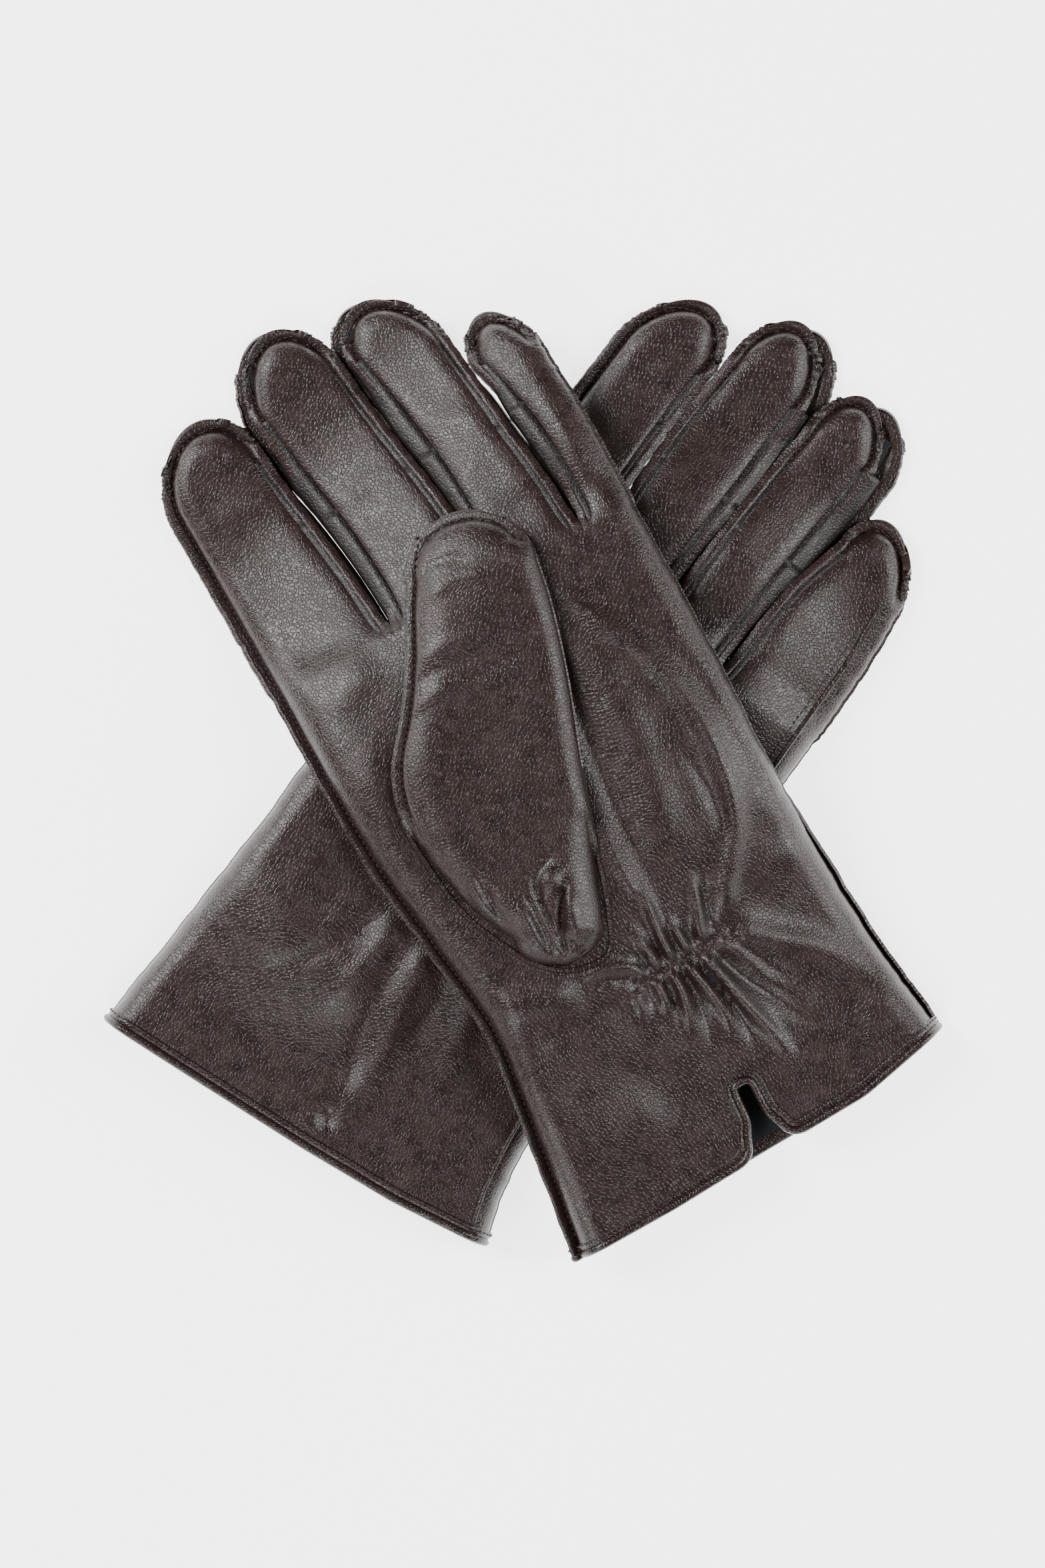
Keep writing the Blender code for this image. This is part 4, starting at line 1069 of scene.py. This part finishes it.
def thumb_grid(pitch, lead):
    """Points across and along the thumb, with how far each lies from its borders and from its foot's seam."""
    tip_height = THUMB_TIP[1] - THUMB_SHOULDER
    hand = np.linspace(0.0, THUMB_ROOT, int(THUMB_ROOT / pitch))
    free = np.linspace(THUMB_ROOT, THUMB_SHOULDER, int((THUMB_SHOULDER - THUMB_ROOT) / pitch))
    rim = 1 - lead[:-1][::-1] / tip_height
    b_rows = np.concatenate([np.zeros(len(hand) + len(free) - 1), np.linspace(0, rim[0], 14)[1:], rim[1:]])
    w = np.concatenate([hand, free[1:], np.full(len(b_rows) - len(hand) - len(free) + 1, THUMB_SHOULDER)])
    left, right = thumb_borders(w)
    width = np.hypot(*(right - left).T)
    ends = np.minimum(lead / np.maximum(width[:, None], 1e-3), 0.4 * np.arange(1, len(lead) + 1) / len(lead))
    share = np.linspace(0, 1, int(40 / pitch))[1:-1]
    s = np.hstack([ends, mix(ends[:, -1:], 1 - ends[:, -1:], share), 1 - ends[:, ::-1]])
    a = 2 * s - 1
    b = b_rows[:, None] * np.ones_like(a)
    middle = ((left + right) / 2)[:, None, :]
    disc_x = a * np.sqrt(np.clip(1 - b**2 / 2, 0, None))
    disc_y = b * np.sqrt(np.clip(1 - np.minimum(a**2, 1) / 2, 0, None))
    points = middle + (right - left)[:, None, :] / 2 * disc_x[..., None]
    points = points + (np.array(THUMB_TIP) - middle) * disc_y[..., None]
    rim_d = (1 - np.hypot(disc_x, disc_y)) * tip_height
    beyond = b > 0
    over_tip = smooth(b / 0.45)
    to_left = mix(s * width[:, None], rim_d, np.where((a < 0) & beyond, 1, over_tip))
    to_right = mix((1 - s) * width[:, None], rim_d, np.where((a > 0) & beyond, 1, over_tip))
    steps = np.linspace(0, 1, 60)
    down_left = thumb_borders(52 * (1 - steps) ** 2)[0]
    up_right = thumb_borders(36 * steps**2)[1]
    to_foot = distance_to(points, np.vstack([down_left, up_right]))
    return points, w + b_rows * tip_height, to_left, to_right, to_foot, b_rows


def thumb_surface(glove, outer, pitch, lead, depth):
    """The thumb's outer or inner leather: plan points and heights by row and column."""
    uw, along, to_left, to_right, to_foot, b_rows = thumb_grid(pitch, lead)
    x, y = thumb_to_plan(uw[..., 0], uw[..., 1])
    full = THUMB_HALF
    seam = SEAM_HALF - 0.25 * np.exp(-(((to_left - STITCH_IN) / 0.42) ** 2))
    seam = seam + (full - SEAM_HALF) * rounded((to_left - STITCH_IN) / 9)
    seam_right = SEAM_HALF + (full - SEAM_HALF) * rounded((to_right - STITCH_IN) / 7)
    fold = full * rounded((to_right + CUT) / 6)
    right = mix(fold, seam_right, smooth(b_rows * 1.4)[:, None])
    half = np.minimum(seam, right)
    cut = np.clip(-np.minimum(to_left, to_right) / CUT, 0, 1)
    free_height = SAG * (full - half) + (2 * half - 0.8 * cut if outer else 0.8 * cut)
    root_height = -0.9 + (2 * full + 0.9) * rounded((to_foot - 0.9) / 8.5)
    across = np.linspace(0, 1, uw.shape[1])[None, :]
    share = smooth((along[:, None] - mix(38, 20, across)) / mix(14, 26, across))
    height = mix(root_height, free_height, share) if outer else free_height
    if outer:
        lumps = lumps_at(np.stack([x, y], -1), glove["seed"] + 20) * smooth((to_foot - 1) / 5)
        pleats = all_folds(x, y, THUMB_PLEATS) if glove["palm_up"] else 0
        inside = smooth((np.minimum(to_left, to_right) - 1) / 4)
        height = height + (PLEAT_GAIN * pleats + 0.8 * lumps) * inside
        height = height - depth
    else:
        height = height + depth
    if glove["palm_up"]:
        z = rest_height(glove, x, y) + 2 * HAND_HALF + THUMB_OFF_PALM + height
    else:
        z = np.maximum(2 * THUMB_HALF - height, 0)
    return {"points": np.dstack([x, y, z]), "v": along, "edge": np.minimum(to_left, to_right)}


# %% Build the thumbs
def build_thumb(glove, lining):
    name = glove["name"]
    faces_up = glove["palm_up"]
    bm = bmesh.new()
    layers = new_layers(bm)
    shape = (LINING_PITCH, THUMB_LINING_LEAD, THUMB_LINING_DEPTH) if lining else (PITCH, EDGE_MM, 0.0)
    outer = thumb_surface(glove, True, *shape)
    inner = thumb_surface(glove, False, *shape)
    rows = outer["v"] > THUMB_ROOT - 0.01
    add_patch(bm, layers, glove, outer["points"], outer["v"][:, None], 0, outer["edge"])
    inner_along = inner["v"][rows][:, None]
    made = add_patch(bm, layers, glove, inner["points"][rows], inner_along, 0, inner["edge"][rows])
    inner_faces = list({face for vert in made for face in vert.link_faces})
    if faces_up:
        bmesh.ops.reverse_faces(bm, faces=inner_faces)
    else:
        bmesh.ops.reverse_faces(bm, faces=[f for f in bm.faces if f not in set(inner_faces)])
    bmesh.ops.remove_doubles(bm, verts=bm.verts, dist=MERGE)
    finishes = (KNIT,) if lining else SKIN_FINISHES
    if not lining:
        edge, along = layers["edge"], layers["along"]
        for face in bm.faces:
            at_rim = max(v[edge] for v in face.verts) < 0.01
            on_fold = face.verts[0][layers["plan_x"]] > -2 and face.verts[0][along] < THUMB_SHOULDER + 8
            if at_rim and not on_fold:
                face.material_index = 1
    kind = "lining_knit" if lining else "leather"
    whole = to_object(f"{name}_thumb_{kind}_whole", bm, finishes)
    if lining:
        thicken(whole, KNIT_THICKNESS, -1, 0, 0)
    else:
        thicken(whole, LEATHER)
    keep_hide(whole.data)
    remember_normals(whole.data)
    beyond = face_means(whole.data, "along") > THUMB_ROOT
    if not lining:
        root = split_piece(f"{name}_thumb_root_{kind}", whole.data, ~beyond, finishes)
        finish_piece(glove, root, None, ["thumb_root"])
        THUMBS[name] = outer
    free = split_piece(f"{name}_thumb_{kind}", whole.data, beyond, finishes)
    finish_piece(glove, free, "thumb", ["thumb_lining" if lining else "thumb"])
    bpy.data.objects.remove(whole)


THUMBS = {}
for glove in (RIGHT, LEFT):
    build_thumb(glove, False)
    build_thumb(glove, True)
print("thumbs done")

# %% [markdown]
# ## Edges, seams and stitches
# The same frame of three directions serves for all of them: along the seam, out of the leather, and sideways
# into the leather.

# %% Following a line on the leather
def frames(path, normals):
    """At each point of a line: the directions along it, sideways into the leather and out of it."""
    tangent = np.gradient(path, axis=0)
    tangent /= np.linalg.norm(tangent, axis=1)[:, None]
    side = np.cross(normals, tangent)
    side /= np.linalg.norm(side, axis=1)[:, None]
    return tangent, side, np.cross(tangent, side)


def resample(path, normals, pitch):
    """Evenly spaced points along a line, with their normals."""
    reached = np.concatenate([[0], np.cumsum(np.linalg.norm(np.diff(path, axis=0), axis=1))])
    wanted = np.linspace(0, reached[-1], max(2, int(reached[-1] / pitch)))
    pick = [np.interp(wanted, reached, column) for column in (*path.T, *normals.T)]
    return np.array(pick[:3]).T, np.array(pick[3:]).T


def smoothed(path, times, closed=False):
    for _ in range(times):
        if closed:
            path = (np.roll(path, 1, 0) + 2 * path + np.roll(path, -1, 0)) / 4
        else:
            path = path.copy()
            path[1:-1] = (path[:-2] + 2 * path[1:-1] + path[2:]) / 4
    return path


def grid_normals(points, up):
    """Normals of a grid of points, turned to face up or down."""
    normal = np.cross(np.gradient(points, axis=1), np.gradient(points, axis=0))
    normal /= np.maximum(np.linalg.norm(normal, axis=-1), 1e-9)[..., None]
    return np.where((normal[..., 2] > 0)[..., None] == up, normal, -normal)


# %% Stitches
STITCH_PITCH, THREAD_HALF_WIDTH, THREAD_HALF_RISE = 1.75, 0.23, 0.2
# one stitch, in six steps along the seam: how full the thread is, and how far it stands out of the leather
STITCH_STEPS = np.array(((0.6, -0.02), (1.0, 0.12), (1.0, 0.16), (1.0, 0.12), (0.6, -0.04), (0.2, -0.45)))
THREAD_SIDES = 7
STITCH_START = 1.03  # the v at which the stitches of a finger's sides start, just past the crotch


def sew(bm, glove, path, normals):
    """Adds a seam's running stitches: the thread lies on the leather, dives into its hole and comes up."""
    steps = len(STITCH_STEPS)
    at, out = resample(path, normals, STITCH_PITCH / steps)
    _, side, up = frames(at, out)
    fullness, lift = STITCH_STEPS[np.arange(len(at)) % steps].T
    angle = np.linspace(0, 2 * math.pi, THREAD_SIDES)
    across = fullness[:, None] * THREAD_HALF_WIDTH * np.cos(angle)
    rise = fullness[:, None] * THREAD_HALF_RISE * np.sin(angle) + lift[:, None]
    grid = at[:, None] + side[:, None] * across[..., None] + up[:, None] * rise[..., None]
    new_grid(bm, to_world(glove, grid), {})


def ring(skin, column, low, high):
    """The line at a set distance inside a finger's border: up its left side, over the tip, down its right."""
    points, v = skin["points"], skin["v"]
    row = len(v) - 1 - column
    sides = (v >= low) & (v <= high) & (np.arange(len(v)) <= row)
    normals = grid_normals(points, skin["up"])
    both = []
    for array in (points, normals):
        up_side = array[sides, column]
        down_side = array[sides, -1 - column][::-1]
        over = array[row, column:-column] if high > 2.9 else array[:0, 0]
        both.append((up_side, over, down_side))
    return both


def seam_lines(glove, palm, strip):
    """The stitch lines of one strip, as (finger or None for the hand, points, normals)."""
    skin = dict(PANELS[glove["name"], palm][strip], up=palm == glove["palm_up"])
    bend = bend_v(glove, strip)
    (up_side, over, down_side), (up_n, over_n, down_n) = ring(skin, STITCH_COLUMN, bend, 3)
    styles = glove["styles"]
    if strip == 3 and styles[1] == "fold":
        down_side, down_n = down_side[:8], down_n[:8]
    whole_line = np.vstack([up_side, over, down_side]), np.vstack([up_n, over_n, down_n])
    lines = [(FINGERS[strip], *whole_line)]
    (root_up, _, root_down), (root_up_n, _, root_down_n) = ring(skin, STITCH_COLUMN, STITCH_START, bend)
    if strip > 0:
        lines.append((None, root_up, root_up_n))
    if strip < 3:
        lines.append((None, root_down, root_down_n))
    if strip == 0:
        low = 0.03 if styles[0] == "seam" else 0.93
        (side, _, _), (side_n, _, _) = ring(skin, STITCH_COLUMN, low, bend)
        lines.append((None, side, side_n))
    return lines


STITCHES = {}


def stitch_mesh(glove, part):
    return STITCHES.setdefault((glove["name"], part), bmesh.new())


for glove in (RIGHT, LEFT):
    for palm in (True, False):
        for strip in range(4):
            for part, path, normals in seam_lines(glove, palm, strip):
                if len(path) > 3:
                    sew(stitch_mesh(glove, part), glove, path, normals)

for glove in (RIGHT, LEFT):
    outer = THUMBS[glove["name"]]
    points, normals = outer["points"], grid_normals(outer["points"], glove["palm_up"])
    row = len(outer["v"]) - 1 - STITCH_COLUMN
    rows = (outer["v"] >= THUMB_ROOT) & (np.arange(len(outer["v"])) <= row)
    stop = points.shape[1] * 4 // 5
    path = np.vstack([points[rows, STITCH_COLUMN], points[row, STITCH_COLUMN:stop]])
    out = np.vstack([normals[rows, STITCH_COLUMN], normals[row, STITCH_COLUMN:stop]])
    sew(stitch_mesh(glove, "thumb"), glove, path, out)
print("stitched:", {key: len(bm.faces) for key, bm in STITCHES.items()})


# %% Sweeping a profile along a line
def sweep(name, glove, path, normals, profile, closed, finishes, slots=None):
    """A strip of leather with the given profile: (into the leather, out of it) points round it."""
    _, side, up = frames(path, normals)
    if closed:
        wrapped = np.vstack([path[-2:], path, path[:2]])
        wrapped_normals = np.vstack([normals[-2:], normals, normals[:2]])
        _, side, up = (d[2:-2] for d in frames(wrapped, wrapped_normals))
    loop = np.array([*profile, profile[0]])
    grid = path[:, None] + side[:, None] * loop[None, :, :1] + up[:, None] * loop[None, :, 1:]
    if closed:
        grid = np.concatenate([grid, grid[:1]])
    bm = bmesh.new()
    layers = new_layers(bm)
    reached = np.concatenate([[0], np.cumsum(np.linalg.norm(np.diff(grid[:, 0], axis=0), axis=1))])
    add_patch(bm, layers, glove, grid, reached[:, None])
    columns = len(loop)
    if slots:
        bm.faces.ensure_lookup_table()
        for k, face in enumerate(bm.faces):
            face.material_index = slots[k % (columns - 1)]
    bmesh.ops.remove_doubles(bm, verts=bm.verts, dist=MERGE)
    if not closed:
        ends = [edge for edge in bm.edges if edge.is_boundary]
        bmesh.ops.holes_fill(bm, edges=ends)
    bmesh.ops.recalc_face_normals(bm, faces=bm.faces)
    piece = to_object(name, bm, finishes)
    keep_hide(piece.data)
    drop_layers(piece.data, ("along", "strip", "edge"))
    piece.data.set_sharp_from_angle(angle=math.radians(50))
    return piece


# %% The hem's binding, and its stitches
BINDING_PROFILE = (
    (-1.25, -0.4), (-1.15, 0.2), (-0.8, 0.7), (-0.25, 0.95), (0.3, 0.85), (0.7, 0.45), (0.95, 0.12),
    (1.15, 0.2), (1.6, 0.42), (2.1, 0.42), (2.6, 0.3), (2.85, 0.0), (2.85, -0.3), (2.7, -1.7), (1.0, -1.75),
    (0.0, -1.7), (-0.7, -1.45), (-1.1, -1.0),
)
BINDING_STITCH_IN, BINDING_STITCH_LIFT = 2.2, 0.38
LINE_PITCH = 0.9  # between the points of a line that a profile is swept along


def hem_edge(glove, palm):
    """The raw edge of a panel at the hem, from its left side to its right, through the vent if it has one."""
    rows = []
    skins = PANELS[glove["name"], palm]
    vent_v = (VENT["top"] - 0.05 - glove["hem_y"][2]) / (CROTCH_Y - glove["hem_y"][2])
    for strip, skin in enumerate(skins):
        rows.append(skin["points"][0, 1:-1])
        if palm and strip == 1:
            rows.append(skin["points"][skin["v"] < vent_v, -1])
            rows.append(skins[2]["points"][skins[2]["v"] < vent_v, 0][::-1])
    return np.vstack(rows)


def hem_loop(glove):
    """The whole mouth as one closed line, with the direction out of the leather at each point."""
    upper, lower = hem_edge(glove, glove["palm_up"]), hem_edge(glove, not glove["palm_up"])[::-1]
    up = np.array((0.0, 0.0, 1.0))
    right = np.array((1.0, 0.0, 0.0))
    share = np.array((0.25, 0.5, 0.75))[:, None]
    bulge = right * 0.7 * np.sin(math.pi * share)
    right_turn = mix(upper[-1], lower[0], share) + bulge
    left_turn = mix(lower[-1], upper[0], share) - bulge
    lean = [up * 0.7 + right * 0.7, right, right * 0.7 - up * 0.7]
    path = np.vstack([upper, right_turn, lower, left_turn])
    normals = np.vstack([
        np.tile(up, (len(upper), 1)), lean, np.tile(-up, (len(lower), 1)), [-n for n in lean],
    ])
    path, normals = resample(np.vstack([path, path[:1]]), np.vstack([normals, normals[:1]]), LINE_PITCH)
    path, normals = path[:-1], normals[:-1]
    path = smoothed(path, 3, True)
    return path, normals / np.linalg.norm(normals, axis=1)[:, None]


for glove in (RIGHT, LEFT):
    path, normals = hem_loop(glove)
    name = f"{glove['name']}_hem_binding_leather"
    rolled = sweep(name, glove, path, normals, BINDING_PROFILE, True, (BINDING_SKIN,))
    finish_piece(glove, rolled, None, ["hem_binding"])
    _, side, out = frames(path, normals)
    stitch_line = path + side * BINDING_STITCH_IN + out * BINDING_STITCH_LIFT
    sew(stitch_mesh(glove, None), glove, stitch_line, normals)
print("bindings done")

# %% Raised lips: the thumb's seam in the palm, and the right glove's side seam
LIP_PROFILE = (
    (-0.7, -0.8), (-0.75, 0.0), (-0.5, 0.55), (-0.1, 0.62), (0.1, 0.5), (0.5, 0.5), (0.75, 0.0), (0.7, -0.8),
)
LIP_SLOTS = (0, 0, 1, 1, 1, 0, 0, 0)  # the finish of each side of the profile: 0 the grain, 1 the cut edge
LIP_FINISHES = (LEATHER_SKIN, CUT_EDGE)
LIP_STITCH_OUT = 2.3
RAY_START = 60  # millimetres above or below the leather


def surface_tree(glove, palm):
    """The panel's outer surface, to drop points onto."""
    verts, faces = [], []
    for skin in PANELS[glove["name"], palm]:
        points = skin["points"]
        rows, columns = points.shape[:2]
        base = len(verts)
        verts += [tuple(p) for p in points.reshape(-1, 3)]
        for r in range(rows - 1):
            for c in range(columns - 1):
                k = base + r * columns + c
                faces.append((k, k + 1, k + columns + 1, k + columns))
    return BVHTree.FromPolygons(verts, faces)


def dropped(tree, plan, up):
    """Points of a plan line dropped onto a surface from outside, with the surface's normals."""
    at, out = [], []
    way = -1 if up else 1
    for x, y in plan:
        place, normal, _, _ = tree.ray_cast(Vector((x, y, -way * RAY_START)), Vector((0, 0, way)))
        if place is None:
            continue
        if (normal.z > 0) != up:
            normal = -normal
        at.append(tuple(place))
        out.append(tuple(normal))
    return np.array(at), np.array(out)


def offset_line(line, distance):
    """A plan line moved sideways, to its left for a positive distance."""
    step = np.gradient(line, axis=0)
    step /= np.hypot(step[:, 0], step[:, 1])[:, None]
    return line + np.stack([-step[:, 1], step[:, 0]], -1) * distance


for glove in (RIGHT, LEFT):
    tree = surface_tree(glove, True)
    line = spline(THUMB_LIP, 150)
    at, out = dropped(tree, line, glove["palm_up"])
    at = smoothed(at, 4)
    out = np.tile((0, 0, 1.0 if glove["palm_up"] else -1.0), (len(at), 1))
    path, normals = resample(at, out, LINE_PITCH)
    name = f"{glove['name']}_thumb_seam_lip"
    lip = sweep(name, glove, path, normals, LIP_PROFILE, False, LIP_FINISHES, LIP_SLOTS)
    finish_piece(glove, lip, None, [])
    outside = offset_line(line, -LIP_STITCH_OUT)
    at, out = dropped(tree, outside[4:-4], glove["palm_up"])
    sew(stitch_mesh(glove, None), glove, smoothed(at, 3), out)

# %% The right glove's side seam, which shows on its back a little way in from the edge
SIDE_SEAM_IN, SIDE_STITCH_IN = 4.6, 2.2
tree = surface_tree(RIGHT, False)
seam_v = np.linspace(0.02, 2.0, 260)
seam_line = border(RIGHT, 3, 1, seam_v, False) - np.array((SIDE_SEAM_IN, 0))
is_hand = seam_v < bend_v(RIGHT, 3)
for part, chosen in ((None, is_hand), ("little", ~is_hand)):
    at, _ = dropped(tree, seam_line[chosen], True)
    path, normals = resample(smoothed(at, 4), np.tile((0, 0, 1.0), (len(at), 1)), LINE_PITCH)
    name = "right_little_side_seam_lip" if part else "right_side_seam_lip"
    lip = sweep(name, RIGHT, path, normals, LIP_PROFILE, False, LIP_FINISHES, LIP_SLOTS)
    finish_piece(RIGHT, lip, part, [])
    at, out = dropped(tree, seam_line[chosen] - np.array((SIDE_STITCH_IN, 0)), True)
    sew(stitch_mesh(RIGHT, part), RIGHT, smoothed(at, 2), out)

# %% Hand the stitches over
for (name, part), bm in STITCHES.items():
    glove = LEFT if name == "left" else RIGHT
    bmesh.ops.remove_doubles(bm, verts=bm.verts, dist=MERGE)
    bmesh.ops.recalc_face_normals(bm, faces=bm.faces)
    piece = to_object(f"{name}_{part or 'hand'}_stitches", bm, (THREAD,))
    finish_piece(glove, piece, part, [])
print("lips and stitches done")

# %% [markdown]
# ## Fourchettes
# The narrow walls between the fingers run from the seam of the back to the seam of the palm, and meet in a
# fork at each crotch.

# %% Build the fourchettes
WALL_POINTS = 7
MOST_SWELL = 4.0  # how far a wall reaches at most to close the gap beside it
FORK_BACK = 1.8  # how far a fork's turn lies behind its two walls


def side_line(skin, column, v):
    """The points of one column of a skin at the given values of v."""
    return np.stack([np.interp(v, skin["v"], skin["points"][:, column, k]) for k in range(3)], -1)


def wall_rows(glove, strip, right, low, high):
    """A wall from the lower skin to the upper one, along one side of a finger. It swells into the gap."""
    upper = PANELS[glove["name"], glove["palm_up"]][strip]
    lower = PANELS[glove["name"], not glove["palm_up"]][strip]
    v = np.linspace(low, high, 2 + int((high - low) * 45))
    column = -1 - WALL_COLUMN if right else WALL_COLUMN
    top = side_line(upper, column, v) - np.array((0, 0, LEATHER * 0.7))
    bottom = side_line(lower, column, v) + np.array((0, 0, LEATHER * 0.7))
    line = strip + right
    gap = border(glove, line, 0, v, False) - border(glove, line - 1, 1, v, False)
    into_gap = np.clip(gap[:, 0] / 2 - 0.1, 0, MOST_SWELL) * smooth((2 - v) * 3)
    swell = EDGE_MM[WALL_COLUMN] - LEATHER / 2 + into_gap
    share = np.linspace(0, 1, WALL_POINTS)[None, :, None]
    wall = mix(bottom[:, None], top[:, None], share)
    wall[..., 0] += (1 if right else -1) * swell[:, None] * np.sin(math.pi * share[..., 0])
    return wall


def build_wall(name, glove, points, finger, node):
    bm = bmesh.new()
    layers = new_layers(bm)
    add_patch(bm, layers, glove, points, np.arange(len(points))[:, None])
    across, up = layers["plan_x"], layers["plan_z"]
    for vert in bm.verts:
        vert[across], vert[up] = vert[up], vert[across]
    # the walls wear the darker nappa, which is painted shade for the gaps between the fingers
    wall = to_object(name, bm, (FOURCHETTE_SHADED_SKIN,))
    thicken(wall, LEATHER, 0, 0, 0)
    keep_hide(wall.data)
    drop_layers(wall.data, ("along", "strip", "edge"))
    finish_piece(glove, wall, finger, [node])


for glove in (RIGHT, LEFT):
    for strip, finger in enumerate(FINGERS):
        bend = bend_v(glove, strip)
        for right, side in ((0, "outer"), (1, "inner")):
            if strip + right not in (0, 4):
                node = f"{finger}_{side}_fourchette"
                wall = wall_rows(glove, strip, right, bend, 2.0)
                build_wall(f"{glove['name']}_{node}_wall", glove, wall, finger, node)
    for gap in range(3):
        down = wall_rows(glove, gap, 1, 1.02, bend_v(glove, gap))[::-1]
        up = wall_rows(glove, gap + 1, 0, 1.02, bend_v(glove, gap + 1))
        turn = mix(down[-1:], up[:1], 0.5)
        turn[..., 1] -= FORK_BACK
        node = f"{FINGERS[gap]}_{FINGERS[gap + 1]}_fork"
        build_wall(f"{glove['name']}_{node}_wall", glove, np.concatenate([down, turn, up]), None, node)
print("fourchettes done")

# %% [markdown]
# ## Table, camera and light
# The gloves are seen from straight above, from far away, on a lit white table. Two large soft lights from
# the sides draw the highlights along the folds, and a weaker one fills in from the front.

# %% The table
floor_mesh = bmesh.new()
bmesh.ops.create_grid(floor_mesh, x_segments=1, y_segments=1, size=3.0)
WHITE = principled("lit white table", "ffffff", 0.9)
WHITE[2].inputs["Emission Color"].default_value = (1, 1, 1, 1)
WHITE[2].inputs["Emission Strength"].default_value = 2.8
floor = to_object("table", floor_mesh, (WHITE[0],))
floor.location.z = -1 * MM

# %% The camera
camera_data = bpy.data.cameras.new("camera")
camera_data.lens = 135
camera_data.sensor_width = 36
camera = bpy.data.objects.new("camera", camera_data)
bpy.context.scene.collection.objects.link(camera)
VIEW_HEIGHT = 0.4116  # the height of what the camera sees, at the gloves' mean level
camera.location = (0, 0, VIEW_HEIGHT * camera_data.lens / camera_data.sensor_width + 0.012)
camera_data.clip_end = 20
bpy.context.scene.camera = camera

# %% The lights
def softbox(name, place, size, power):
    data = bpy.data.lights.new(name, "AREA")
    data.shape = "RECTANGLE"
    data.size, data.size_y = size
    data.energy = power
    lamp = bpy.data.objects.new(name, data)
    bpy.context.scene.collection.objects.link(lamp)
    lamp.location = place
    lamp.rotation_euler = (-Vector(place)).to_track_quat("-Z", "Y").to_euler()


softbox("softbox left", (-1.3, 0.7, 1.2), (0.7, 1.3), 54)
softbox("softbox right", (1.5, 0.2, 1.1), (0.8, 1.5), 40)
softbox("softbox front", (-0.5, -1.4, 1.15), (1.2, 0.6), 26)
world = bpy.data.worlds.new("pale room")
bpy.context.scene.world = world
world.use_nodes = True
world.node_tree.nodes["Background"].inputs["Color"].default_value = (1, 1, 1, 1)
world.node_tree.nodes["Background"].inputs["Strength"].default_value = 0.1
